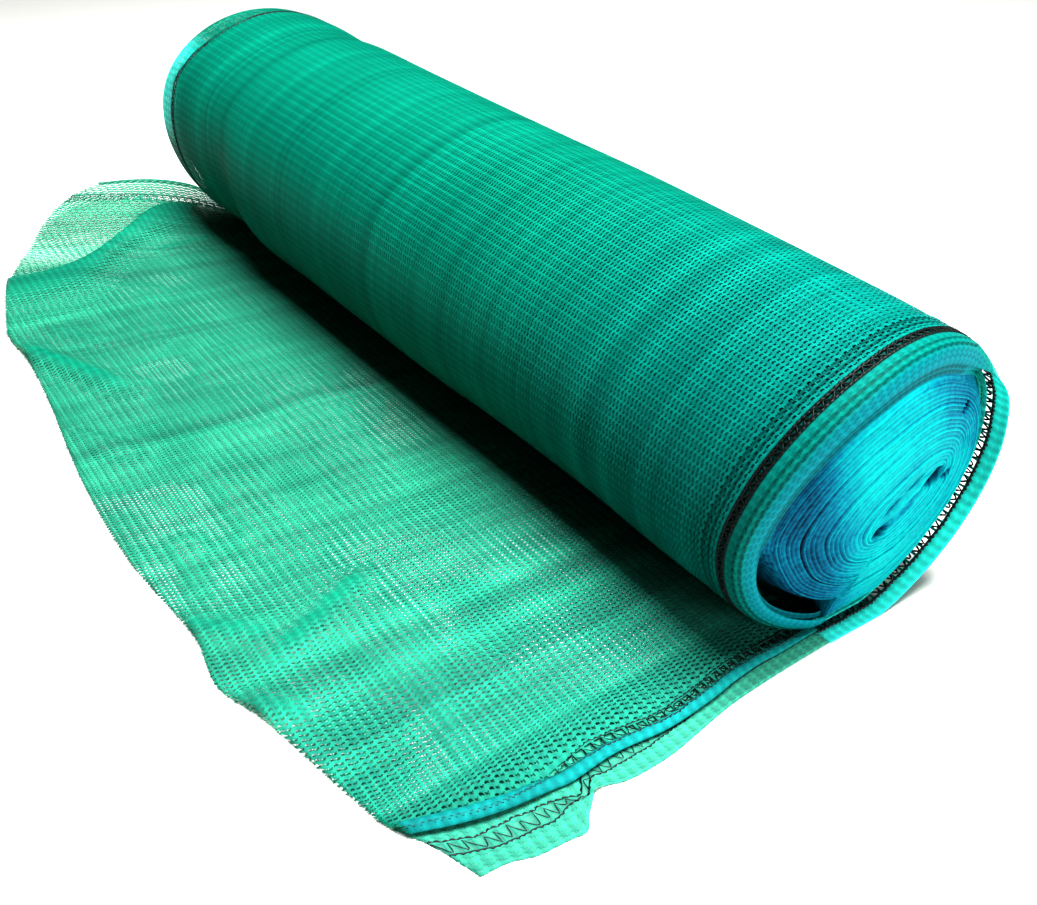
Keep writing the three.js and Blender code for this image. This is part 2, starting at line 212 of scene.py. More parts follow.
def roll_point(x, angle, depth):
    """Places at a depth below the roll's outer surface, pressed flat underneath."""
    turned = np.radians(angle)
    turn = (angle - STEP_ANGLE) / 360
    back = np.maximum(0, np.cos(np.radians(angle - 61))) ** 2
    front = np.maximum(0, np.cos(np.radians(angle - 223))) ** 2
    radius = (mean_radius(x) + TURN_STEP * (0.5 - turn) - depth
              + back * curve(UNEVEN[:, 0], UNEVEN[:, 1], x)
              + front * curve(UNEVEN[:, 0], UNEVEN[:, 2], x))
    centre = mean_radius(x) + TURN_STEP / 2 - SAG
    under = np.where(angle < 90, 0, TURN_STEP) + np.maximum(depth, 0)
    at_step = (np.abs(angle - STEP_ANGLE) < 1e-6) | (np.abs(angle - STEP_ANGLE - 360) < 1e-6)
    y = np.where(at_step, STEP_Y, radius * np.cos(turned))
    z = np.where(at_step, under, np.maximum(centre + radius * np.sin(turned), under))
    return np.stack([x + 0 * y, y, z], axis=-1)


def angles_round(count):
    """Angles of one whole turn, from the step to the step."""
    return STEP_ANGLE + 360 * np.arange(count + 1) / count


def end_shares(angle):
    """How far the near end's strip stands clear, leaves a crescent gap or is tucked in."""
    standing = 1 - smooth(angle, 18, 62)
    crescent = 1 - smooth(np.abs(angle - 240), 26, 58)
    return standing, crescent, 1 - standing - crescent


def turn_band(angle):
    """x of the middle of the outermost turn's eyelet band."""
    standing, crescent, tucked = end_shares(angle)
    return curve(NEAR_BAND[:, 0], NEAR_BAND[:, 1], angle) - 7.6 * tucked - 6 * crescent


def near_profile(angle, standing, crescent, tucked, count):
    """A near end's section at each angle, as x and depth with count columns."""
    shares = end_shares(angle)
    steps = np.linspace(0, len(tucked) - 1, count)
    keys = np.arange(len(tucked))
    section = []
    for column in (0, 1):
        parts = []
        for rows in (standing, crescent, tucked):
            parts.append(curve(keys, np.array(rows)[:, column], steps))
        section.append(sum(share[:, None] * part for share, part in zip(shares, parts)))
    band = curve(NEAR_BAND[:, 0], NEAR_BAND[:, 1], angle)
    return band[:, None] + section[0], section[1]


print("Radius at both ends in millimetres:", NEAR_RADIUS, round(float(mean_radius(-450)), 1))

# %% [markdown]
# ## Making a mesh of cloth
#
# A net is far too soft to be cut from a block. Each piece is a curved sheet, worked out point
# by point on a grid and given two faces and a thin edge, so that it is closed. Every point also
# carries its place in the flat net: how far across it lies, how far along, and how far from an
# eyelet band. The knit is drawn from that place, so it follows each fold.


# %% Helpers for cloth
def faces_of_cloth(grid, thick):
    """Corners and faces of a cloth whose middle surface is a grid of points."""
    rows, columns = grid.shape[:2]
    normal = np.cross(np.gradient(grid, axis=0), np.gradient(grid, axis=1))
    normal /= np.linalg.norm(normal, axis=2, keepdims=True)
    corners = np.concatenate([
        (grid + normal * thick / 2).reshape(-1, 3),
        (grid - normal * thick / 2).reshape(-1, 3),
    ])
    index = np.arange(rows * columns).reshape(rows, columns)
    a, b, c, d = index[:-1, :-1], index[1:, :-1], index[1:, 1:], index[:-1, 1:]
    top = np.stack([a, b, c, d], axis=-1).reshape(-1, 4)
    half = rows * columns
    faces = [top, top[:, ::-1] + half]
    borders = (
        (index[1:, 0], index[:-1, 0]), (index[:-1, -1], index[1:, -1]),
        (index[0, :-1], index[0, 1:]), (index[-1, 1:], index[-1, :-1]),
    )
    for first, second in borders:
        faces.append(np.stack([first, second, second + half, first + half], axis=-1))
    return corners, np.concatenate(faces)


def new_piece(name, parts):
    """One object from parts, each its corners in millimetres, its faces and its attributes."""
    corners = np.concatenate([part[0] for part in parts])
    faces = []
    start = 0
    for part_corners, part_faces, _ in parts:
        if isinstance(part_faces, np.ndarray):
            part_faces = part_faces.tolist()
        faces += [[corner + start for corner in face] for face in part_faces]
        start += len(part_corners)
    mesh = bpy.data.meshes.new(name)
    mesh.from_pydata((corners * 0.001).tolist(), [], faces)
    for attribute in parts[0][2]:
        values = np.concatenate([part[2][attribute] for part in parts])
        kind, field = ("FLOAT_VECTOR", "vector") if values.ndim == 2 else ("FLOAT", "value")
        layer = mesh.attributes.new(attribute, kind, "POINT")
        layer.data.foreach_set(field, values.astype(float).ravel())
    mesh.update()
    piece = bpy.data.objects.new(name, mesh)
    bpy.context.scene.collection.objects.link(piece)
    mesh.shade_smooth()
    triangles = sum(len(face) - 2 for face in faces)
    print(f"{name}: {triangles} triangles")
    return piece


def cloth_part(grid, thick, across, along, band, dense, painted_light_tint, strip):
    """A cloth's corners, faces and attributes. The places are in millimetres of flat net."""
    corners, faces = faces_of_cloth(grid, thick)
    shape = grid.shape[:2]
    flat_place = [np.broadcast_to(part, shape).reshape(-1) for part in (across, along, band)]
    place = np.stack(flat_place, axis=-1)
    attributes = {"net_place": np.tile(place, (2, 1))}
    for name, values in (("dense", dense), ("painted_light_tint", painted_light_tint), ("strip", strip)):
        attributes[name] = np.tile(np.broadcast_to(values, shape).reshape(-1), 2)
    return corners, faces, attributes


# %% [markdown]
# ## The wound net
#
# Under the outermost turn lies a body of many fine turns. At the near end their selvedges stand
# out unevenly and lean inwards like scales, each over the next, round a middle that the first
# turns left pressed flat. We build the body as closed rings from the far face to the near face,
# and shape each turn's edge as a slope that ends in a small step, along one long spiral.

# %% Sections of the body's ends
# x from the band and depth below the roll's outer surface
BODY_TUCKED = [
    (-30, 1.6), (-14, 2.2), (-6, 3.2), (-1, 5.2), (1.8, 8), (3, 11), (3.6, 14), (4.3, 17.5),
    (5.3, 20), (6.4, 23),
]
BODY_STANDING = [
    (-30, 1.6), (-22, 1.9), (-16, 2.6), (-12, 3.8), (-9.5, 5), (-6.5, 6.2), (-3, 7.6), (0.5, 9.2),
    (3.6, 11), (6, 13),
]
BODY_CRESCENT = [
    (-60, 1.6), (-54, 3.5), (-48, 7), (-42, 11), (-35, 15), (-26, 18.5), (-14, 21), (-4, 22.6),
    (6, 24.2), (12, 26),
]
# angle, x of the body's far end, which the loosened outermost turn stands past
FAR_BODY = np.array([
    (-105, -436), (-40, -430), (20, -424), (60, -416), (95, -409), (126, -414), (150, -428),
    (168, -424), (183, -414), (196, -392), (206, -388), (225, -412), (262, -432),
])
# x from that end and depth
BODY_FAR = [(30, 1.6), (16, 1.9), (6, 2.8), (0, 5), (-3, 8.5), (-3, 12), (-1, 15), (-2, 20)]

# where the pressed middle of each end lies: x, y, z, half length, half width, tilt, way out
NEAR_CORE = (440, 20, 88, 27, 6, 33, 1)
FAR_CORE = (-426, -4, 112, 30, 12, 20, -1)
# pits that the winding left open: y, z, half length, half width, depth
NEAR_PITS = (
    (40, 98, 6, 3.4, 11), (22, 101, 6, 1.8, 5), (1, 74, 4.2, 2.6, 13), (7, 90, 7, 2.4, 3),
    (50, 97, 4, 2, 4), (54, 139, 3.4, 2.6, 9),
)
# the blue parts of a face are painted shade
FACE_SHADE_SHARE = 0.43                       # how much darker a face's blue parts are
BODY_ANGLES = 250
BODY_DEPTH = 1.6                        # the body lies this far under the outermost turn
NEAR_COLUMNS = 28                       # rows of points round the near rim, the far rim and between
FAR_COLUMNS = 18
MIDDLE_COLUMNS = 84
MIDDLE_END_X = 366
NEAR_RINGS = 150                        # rings of points from a face's border to its core
FAR_RINGS = 60
CORE_RINGS = 3
ALONG_RADIUS = 103                      # turns an angle into a length of net
FAR_OFF = 99                            # a distance at which no band is near


# %% The turns on a face
def wave(at, seed):
    """A slow, uneven wave between about -1 and 1 that is the same each time."""
    return (np.sin(at * 1.0 + seed) + 0.7 * np.sin(at * 2.3 + seed * 2.1)
            + 0.5 * np.sin(at * 5.1 + seed * 0.7)) / 1.7


def pits_at(y, z, pits, tilt):
    """How deep the pits are at a place on a face, and how much painted shade darkens them."""
    deep = 0 * y
    pit_shade = 0 * y
    for pit_y, pit_z, long, short, depth in pits:
        along = (y - pit_y) * math.cos(tilt) + (z - pit_z) * math.sin(tilt)
        beside = (z - pit_z) * math.cos(tilt) - (y - pit_y) * math.sin(tilt)
        share = np.exp(-((along / long) ** 2 + (beside / short) ** 2) ** 1.4)
        deep = np.maximum(deep, depth * share)
        pit_shade = np.maximum(pit_shade, min(1, depth / 8) * share)
    return deep, pit_shade


def face_shade_at(over_y, over_z):
    """How much painted shade turns a face blue, beside and above its core: low on the left and high on
    the right.
    """
    left = smooth(-0.85 * over_y - 0.3 * over_z, 24, 64)
    right = smooth(0.75 * over_y + 0.65 * over_z, 26, 64)
    return np.maximum(left, 0.62 * right)


def face_rings(border, core, turns, count, height, dome, pits):
    """Rings from a face's border to its pressed core, with the turns' edges standing out."""
    x, y, z, long, short, tilt, out = core
    angle = angles_round(BODY_ANGLES)[:-1]
    lean = math.radians(tilt)
    around = np.radians(angle) - lean
    slot = np.stack([
        np.full_like(angle, x),
        y + long * np.cos(around) * math.cos(lean) - short * np.sin(around) * math.sin(lean),
        z + long * np.cos(around) * math.sin(lean) + short * np.sin(around) * math.cos(lean),
    ], axis=-1)
    part_turn = (angle - STEP_ANGLE) / 360
    rings = []
    tones = []
    for i in range(1, count + CORE_RINGS + 1):
        share = 1 - i / count
        if i > count:
            ring = slot.copy()
            ring[:, 1:] = (y, z) + (slot[:, 1:] - (y, z)) * (1 - (i - count) * 0.3)
        else:
            ring = slot + (border - slot) * share
        wander = 0.4 * wave(np.radians(angle) + 3 * share, 4.0) * share
        phase = turns * max(0, 1 - share) ** 0.9 - part_turn + wander
        scale = phase - np.floor(phase)
        length_along = np.floor(phase) + part_turn
        rise = np.where(scale < 0.85, (scale / 0.85) ** 1.6, (1 - scale) / 0.15)
        loose = 0.5 + 0.5 * wave(length_along * 2.3, 1.3)
        stands = 0.25 + 1.5 * np.clip(loose, 0, 1) ** 2.5 + 0.2 * wave(length_along * 9.1, 5.0)
        deep, pit_shade = pits_at(ring[:, 1], ring[:, 2], pits, lean)
        ring[:, 0] += out * (dome * 4 * share * (1 - share) + height * rise * stands - deep)
        rings.append(ring)
        blue = face_shade_at(ring[:, 1] - y, ring[:, 2] - z)
        # painted light and shade: a turn's lip is lighter and its valley darker, the blue parts and
        # the pits are painted shade, and a slow wave varies the tone
        edge = (rise - 0.45) * (0.10 + 0.34 * stands)
        level = 0.72 + edge - FACE_SHADE_SHARE * blue - 1.3 * pit_shade + 0.05 * wave(length_along * 3.7, 2.2)
        tones.append(np.stack([level, length_along], axis=-1))
    return rings, tones


# %% The body
def body_of_turns():
    """Corners, faces and attributes of the wound body."""
    angle = angles_round(BODY_ANGLES)[:-1]
    x, depth = near_profile(angle, BODY_STANDING, BODY_CRESCENT, BODY_TUCKED, NEAR_COLUMNS)
    near_rows = [roll_point(x[:, i], angle, depth[:, i]) for i in range(x.shape[1])]
    rim = curve(FAR_BODY[:, 0], FAR_BODY[:, 1], angle)
    steps = np.linspace(0, len(BODY_FAR) - 1, FAR_COLUMNS)
    far = np.array(BODY_FAR)
    far_x = curve(np.arange(len(far)), far[:, 0], steps)
    far_depth = curve(np.arange(len(far)), far[:, 1], steps)
    far_rows = []
    for i in range(FAR_COLUMNS):
        far_rows.append(roll_point(rim + far_x[i], angle, 0 * angle + far_depth[i]))
    middle = []
    for share in np.linspace(0, 1, MIDDLE_COLUMNS + 2)[1:-1]:
        x_here = rim + far_x[0] + (MIDDLE_END_X - rim - far_x[0]) * share
        middle.append(roll_point(x_here, angle, 0 * angle + BODY_DEPTH))
    near_face, near_tones = face_rings(
        near_rows[-1], NEAR_CORE, turns=22, count=NEAR_RINGS, height=0.9, dome=3, pits=NEAR_PITS)
    far_face, far_tones = face_rings(
        far_rows[-1], FAR_CORE, turns=20, count=FAR_RINGS, height=1.2, dome=3, pits=())
    rings = far_face[::-1] + far_rows[::-1] + middle + near_rows + near_face
    plain = np.stack([0 * angle + 0.7, 0 * angle], axis=-1)
    rim_tones = []
    for i, row in enumerate(near_rows):
        blue = face_shade_at(row[:, 1] - NEAR_CORE[1], row[:, 2] - NEAR_CORE[2])
        # painted light and shade on the rim: a stripe that grows lighter across each turn, and painted
        # shade on the blue parts and in the crescent gap
        turn_at = depth[:, i] / 1.7 - (angle - STEP_ANGLE) / 360
        gap_shade = smooth(turn_band(angle) - x[:, i], 2, 22) * end_shares(angle)[1]
        level = 0.56 + 0.3 * (turn_at - np.floor(turn_at)) - FACE_SHADE_SHARE * blue - 0.6 * gap_shade
        rim_tones.append(np.stack([level, 40 + np.floor(turn_at)], axis=-1))
    tones = far_tones[::-1] + [plain] * (FAR_COLUMNS + MIDDLE_COLUMNS) + rim_tones + near_tones
    rim_faced = np.minimum(1, np.linspace(0, 1.7, NEAR_COLUMNS))
    faced = [1.0] * len(far_face) + [0.0] * (FAR_COLUMNS + MIDDLE_COLUMNS)
    faced += list(rim_faced) + [1.0] * len(near_face)
    count = len(angle)
    index = np.arange(len(rings) * count).reshape(len(rings), count)
    after = np.roll(index, -1, axis=1)
    quads = np.stack([index[:-1], after[:-1], after[1:], index[1:]], axis=-1).reshape(-1, 4)
    corners = np.concatenate(rings + [
        np.mean(rings[0], axis=0, keepdims=True), np.mean(rings[-1], axis=0, keepdims=True)])
    far_point = len(corners) - 2
    near_point = len(corners) - 1
    caps = [[far_point, after[0, j], index[0, j]] for j in range(count)]
    caps += [[near_point, index[-1, j], after[-1, j]] for j in range(count)]
    x_all = corners[:, 0]
    along = np.append(np.tile(np.radians(angle - STEP_ANGLE) * ALONG_RADIUS, len(rings)), [0, 0])
    # the net of the body lies a little out of step with the outermost turn, and slightly askew
    place = np.stack([x_all + 1.1, along * 1.012 + 0.03 * x_all, 0 * x_all + FAR_OFF], axis=-1)
    tone = np.concatenate([np.stack(tones).reshape(-1, 2), np.full((2, 2), 0.5)])
    on_face = np.append(np.repeat(faced, count), [1, 1])
    turn_shade_and_tone = np.stack([tone[:, 0], tone[:, 1], on_face], axis=-1)
    from_turn_band = x_all - np.append(np.tile(turn_band(angle), len(rings)), [0, 0])
    return corners, quads.tolist() + caps, {
        "net_place": place, "turn_shade_and_tone": turn_shade_and_tone, "strip": from_turn_band}


wound_net = new_piece("wound_net", [body_of_turns()])

# %% [markdown]
# ## The outermost turn
#
# The loose end runs under the roll, up its back, over the top and down its front. It is the
# cloth that we see most of, so it gets a piece of its own, thin and full of holes, just outside
# the body. Outside its eyelet band a narrow strip is left: it is tucked over the end at the top
# and front, stands clear at the back, and curls inwards low in front. Three selvedges show.

# %% Sections of the near strips
# x from the band and depth, for the outermost layer, the layer under it and the next turn
STRIPS = (
    {
        "tucked": [(6.4, 13.5), (6.8, 9), (5.8, 4), (3.2, 1.2), (0, 0.35), (-14, 0.25)],
        "standing": [(15, -0.3), (12, -0.1), (9, 0.1), (4, 0.2), (-2, 0.25), (-14, 0.25)],
        "crescent": [(9.6, 11), (9.5, 8), (7.5, 4.5), (4, 1.5), (0, 0.4), (-14, 0.25)],
    },
    {
        "tucked": [(5.4, 16.5), (5.0, 10), (3.4, 4.8), (-1, 1.9), (-10, 1.0), (-26, 0.85)],
        "standing": [(0, 1.3), (-4, 1.0), (-8, 0.9), (-12, 0.85), (-18, 0.85), (-26, 0.85)],
        "crescent": [(6.0, 13.2), (5.6, 9.6), (3.2, 5.8), (-1, 2.6), (-10, 1.1), (-26, 0.85)],
    },
    {
        "tucked": [(5.4, 19.5), (4.4, 12.5), (1.6, 6.8), (-5, 3.1), (-14, 1.9), (-30, 1.5)],
        "standing": [(-2, 4.6), (-8, 3.4), (-13, 2.7), (-19, 2.0), (-26, 1.6), (-34, 1.5)],
        "crescent": [(-8, 4.6), (-11, 3.9), (-15, 3.2), (-20, 2.5), (-27, 1.9), (-34, 1.5)],
    },
)
# the hairpin of the doubled net at the far end, x from the rim and depth
FAR_FOLD = [
    (40, 0.25), (28, 0.25), (14, 0.35), (5, 1.2), (1, 2.8), (0, 4.6), (2.5, 6.6), (9, 7.6),
    (20, 7.4), (34, 6.4), (46, 5.6),
]
NEAR_BAND_AT = 418                      # the lines of the net that the two bands follow
FAR_BAND_AT = -441
NET_THICK = 0.2                         # thinner than real tape, so the holes stay open at a slant
TURN_ANGLES = 156
STRIP_COLUMNS = 14                      # columns of the outermost layer's strip
TURNED_COLUMNS = 14                     # columns of the far fold that run back inside
SHADE_SHIFT = 60


# %% The outermost layer
def lengths_across(grid):
    """The length from each row's first point to each of its points."""
    steps = np.linalg.norm(np.diff(grid, axis=1), axis=2)
    return np.concatenate([np.zeros((len(grid), 1)), np.cumsum(steps, axis=1)], axis=1)


def at_place(columns, values, wanted):
    """For each row, the value where its rising column entries reach what is wanted."""
    return np.array([np.interp(w, row, value) for w, row, value in zip(wanted, columns, values)])


def outer_layer():
    """The grid of the outermost layer, with the line of the net at each of its points."""
    angle = angles_round(TURN_ANGLES)
    strip = STRIPS[0]
    near_x, near_depth = near_profile(
        angle, strip["standing"], strip["crescent"], strip["tucked"], STRIP_COLUMNS)
    rim = curve(FAR_RIM[:, 0], FAR_RIM[:, 1], angle)
    steps = np.linspace(0, len(FAR_FOLD) - 1, 24)
    fold = np.array(FAR_FOLD)
    fold_x = rim[:, None] + curve(np.arange(len(fold)), fold[:, 0], steps)
    fold_depth = np.tile(curve(np.arange(len(fold)), fold[:, 1], steps), (len(angle), 1))
    share = np.concatenate([np.linspace(0, 0.07, 22), np.linspace(0.07, 1, 70)[1:]])[1:-1]
    middle_x = near_x[:, -1:] + (fold_x[:, :1] - near_x[:, -1:]) * share
    x = np.concatenate([near_x, middle_x, fold_x], axis=1)
    band = turn_band(angle)
    inside = band[:, None] - x
    # the wales beside the band stand up a little, at these distances inside it
    ridges = sum(0.7 * np.exp(-((inside - place) / 1.7) ** 2) for place in (-6.5, 6.5, 12, 17.5))
    pressed = 0.25 - ridges * (1 - end_shares(angle)[0][:, None])
    depth = np.concatenate([near_depth, 0 * middle_x + 0.25, fold_depth], axis=1)
    depth = np.where((inside > 3) & (x > rim[:, None] + 60), pressed, depth)
    grid = roll_point(x, np.tile(angle[:, None], (1, x.shape[1])), depth)
    run = lengths_across(grid)
    # between the curled selvedge and the fold's return, x falls from column to column
    rising = slice(4, x.shape[1] - TURNED_COLUMNS)
    far_band = curve(FAR_BAND[:, 0], FAR_BAND[:, 1], angle)
    near_run = at_place(-x[:, rising], run[:, rising], -band)
    far_run = at_place(-x[:, rising], run[:, rising], -far_band)
    scale = (NEAR_BAND_AT - FAR_BAND_AT) / (far_run - near_run)
    line = NEAR_BAND_AT - (run - near_run[:, None]) * scale[:, None]
    along = np.radians(angle - STEP_ANGLE)[:, None] * ALONG_RADIUS + 0 * line
    return grid, line, along, depth


def near_strip(strip):
    """A lower layer's strip at the near end, from its selvedge to where it is hidden."""
    angle = angles_round(TURN_ANGLES)
    x, depth = near_profile(angle, strip["standing"], strip["crescent"], strip["tucked"], 16)
    grid = roll_point(x, np.tile(angle[:, None], (1, x.shape[1])), depth)
    run = lengths_across(grid)
    along = np.radians(angle - STEP_ANGLE)[:, None] * (ALONG_RADIUS - 1)
    return grid, NEAR_BAND_AT + 15 - run, along + 0 * run, depth


def from_band(line, bands):
    """The distance to the nearest of the bands."""
    return np.min([np.abs(line - band) for band in bands], axis=0)


def in_strips(line, depth, selvedge):
    """How dense a near strip is, how much painted light tints it, and the distance past its band for
    the shades.
    """
    angle = angles_round(TURN_ANGLES)[:, None]
    near = smooth(line, 250, 400)
    standing = end_shares(angle)[0]
    past_band = smooth(line, NEAR_BAND_AT + 3.4, NEAR_BAND_AT + 5) * near
    dense = smooth(line, selvedge - 3.2, selvedge - 2.4) * near
    dense = np.maximum(dense, (0.7 + 0.25 * standing) * past_band)
    # painted light: tucked net is tinted turquoise for the light at the near end, and the strip that
    # stands clear is painted paler, as if lit through
    painted_light_tint = smooth(depth, 1.5, 7) * near * (1 - standing) - 0.9 * standing * past_band
    # Where the strip stands clear, the shades beside the band are moved away from it. They ought
    # to fade out instead: at the back they still show, as a false stripe further in on the roll.
    return dense, painted_light_tint, line - NEAR_BAND_AT + SHADE_SHIFT * standing


outer_grid, outer_line, outer_along, outer_depth = outer_layer()
outer_dense, outer_light_tint, outer_strip = in_strips(outer_line, outer_depth, outer_line[:, :1])
# in front, painted light: the loosened fold at the far end is painted paler where light would shine
# through it
turned = angles_round(TURN_ANGLES)[:, None]
lens = smooth(turned, 122, 140) * (1 - smooth(turned, 176, 190))
lens = lens * smooth(-outer_line, 3 - FAR_BAND_AT, 7 - FAR_BAND_AT)
turn_parts = [cloth_part(
    outer_grid, NET_THICK, outer_line, outer_along,
    from_band(outer_line, (NEAR_BAND_AT, FAR_BAND_AT)),
    outer_dense, outer_light_tint - lens, outer_strip,
)]
for strip in STRIPS[1:]:
    grid, line, along, depth = near_strip(strip)
    turn_parts.append(cloth_part(
        grid, NET_THICK, line, along, 0 * line + FAR_OFF, *in_strips(line, depth, line[:, :1])))
outer_turn = new_piece("outer_turn", turn_parts)

# %% [markdown]
# ## The loose end
#
# The doubled net lies on the floor in two layers, joined by the fold at its far edge. The fold
# is lifted off the floor and the upper layer stands up in one big soft fold beside it, with
# smaller creases further on. The two selvedges at the near edge don't quite meet. A net this
# stiff keeps the creases it was packed with, so each is placed one by one rather than simulated.

# %% Sizes of the loose end
# line at the roll, its x and reach at the cut end, bow and share of the lift
LINES = np.array([
    (-466, -582, 156, 14, 1), (-440, -568, 199, 12, 0.6), (-415, -523, 234, 10, 0.32),
    (-385, -468, 262, 8, 0.1), (-335, -405, 294, 4, 0), (-290, -330, 316, 2, 0),
    (-232, -256, 330, 0, 0), (-185, -204, 327, 0, 0), (-110, -120, 330, 0, 0),
    (20, 17, 340, 0, 0), (132, 132, 341, 0, 0), (225, 233, 331, 0, 0), (266, 280, 335, 0, 0),
    (300, 318, 323, 0, 0), (362, 394, 307, 0, 0), (402, 425, 298, -2, 0),
    (416, 446, 287, -2, 0), (434, 470, 277, -3, 0),
])
# share of the way to the cut end, lift of the fold, place and height of the big fold
ALONG = np.array([
    (0.0, 0, -440, 0), (0.12, 1, -440, 0), (0.25, 13, -438, 2), (0.4, 25, -432, 9),
    (0.52, 29, -422, 14), (0.62, 30, -393, 16), (0.73, 29, -345, 14), (0.85, 26, -327, 11),
    (1.0, 20, -322, 8),
])
# share of the way, the upper layer's band, its selvedge, and how high the selvedge rolls up
UPPER_EDGE = np.array([
    (0.0, 414, 424, 0.5), (0.12, 416, 424.5, 1.2), (0.19, 415, 424, 2), (0.27, 416, 425.5, 2.6),
    (0.33, 418, 427.5, 3), (0.385, 419.6, 428.3, 3), (0.445, 420, 428.5, 3), (0.5, 419, 427.7, 3),
    (0.555, 416.5, 425.5, 3), (0.6, 415.4, 424, 3), (0.64, 415.5, 423.8, 3.2),
    (0.69, 416.2, 424.3, 3.6), (0.73, 417.5, 424.4, 4), (0.77, 418.2, 422.5, 4.2),
    (0.87, 416, 418.6, 4.5), (0.94, 411, 413.5, 4.5), (1.0, 405.5, 407.7, 4.5),
])
# share of the way, how far out the lower layer's band and its selvedge are pushed
LOWER_EDGE = np.array([
    (0.0, 0, 0), (0.2, 0, 0), (0.33, 3, 1), (0.44, 7, 4.3), (0.52, 7.8, 6.3), (0.6, 8, 5.4),
    (0.65, 8.2, 3), (0.675, 7.5, 0), (0.695, 14, -1), (0.715, 21, 0), (0.732, 18.5, 4),
    (0.757, 14.6, 9), (0.776, 13.8, 14.5), (0.82, 13, 12.5), (0.89, 10, 9), (0.94, 6, 3),
    (1.0, -3, 0),
])
FOLD = np.array([(-7, 0), (-1, 0.4), (5, 0.85), (14, 1), (28, 0.78), (48, 0.36), (80, 0)])
# from x and y to x and y, height, width and how dense the net looks along the crease
CREASES = np.array([
    (-226, -332, -92, -270, 9, 14, 1), (228, -213, 280, -306, 5, 9, 0.95),
    (214, -338, 256, -290, 4, 10, 0.8), (296, -330, 330, -300, 4, 11, 0.6),
    (-180, -150, 180, -175, 2.4, 30, 0), (60, -250, 380, -235, 2.4, 26, 0),
    (-262, -300, -196, -262, 3, 9, 0.5), (-310, -190, -150, -235, 2.4, 16, 0.25),
    (-300, -120, -120, -96, 2.2, 16, 0.15), (330, -232, 404, -250, 2.2, 9, 0.3),
    (120, -300, 205, -318, 2.4, 12, 0.2), (-60, -330, 20, -296, 2.6, 12, 0.25),
    (-372, -268, -318, -232, 2.6, 10, 0.4), (150, -90, 330, -108, 1.8, 20, 0),
    (-385, -165, -398, -88, 1.6, 4, 0.9),
])
PLEAT = {"way": 0.725, "length": 0.03, "wide": 34, "high": 4.5}
START_Y = STEP_Y - 0.3
FLOOR_LAYER = 0.35                      # the lower layer's middle above the floor
UPPER_LAYER = 2.2                       # the upper layer's middle above the floor
FAR_EDGE = -466
NEAR_EDGE = 434
HAIRPIN_POINTS = 7                      # points round the fold at the far edge
HAIRPIN_ACROSS = 900                    # places across the doubled net: the fold, the upper layer
UPPER_ACROSS = 904


# %% Where the net lies
def on_floor(line, way):
    """Places of the net's lines on the floor, part of the way to the cut end."""
    at = [curve(LINES[:, 0], LINES[:, column], line) for column in range(1, 5)]
    x = line + (at[0] - line) * way + 4 * way * (1 - way) * at[2]
    y = START_Y - way * (at[1] + START_Y)
    lift = curve(ALONG[:, 0], ALONG[:, 1], way) * np.maximum(0, at[3])
    return np.stack([x, y, lift + 0 * x], axis=-1)


def creases_at(x, y):
    """The height of the creases over a place on the floor, and how dense they make the net."""
    height = 0 * x
    dense = 0 * x
    for from_x, from_y, to_x, to_y, high, wide, thick in CREASES:
        dx, dy = to_x - from_x, to_y - from_y
        length = math.hypot(dx, dy)
        along = ((x - from_x) * dx + (y - from_y) * dy) / length**2
        beside = ((x - from_x) * dy - (y - from_y) * dx) / length
        ends = smooth(along, -0.1, 0.25) * (1 - smooth(along, 0.7, 1.15))
        height = height + high * ends * np.exp(-(beside / wide) ** 2)
        dense = np.maximum(dense, thick * ends * np.exp(-(beside / (0.55 * wide)) ** 2))
    return height, dense


def ripples(x, y):
    """Faint unevenness of a net that has been folded before."""
    return (0.45 * np.sin(x / 19 + 1.3 * np.sin(y / 31)) + 0.4 * np.sin(y / 13 + x / 47)
            + 0.3 * np.sin(x / 8.5 - y / 23 + 2))


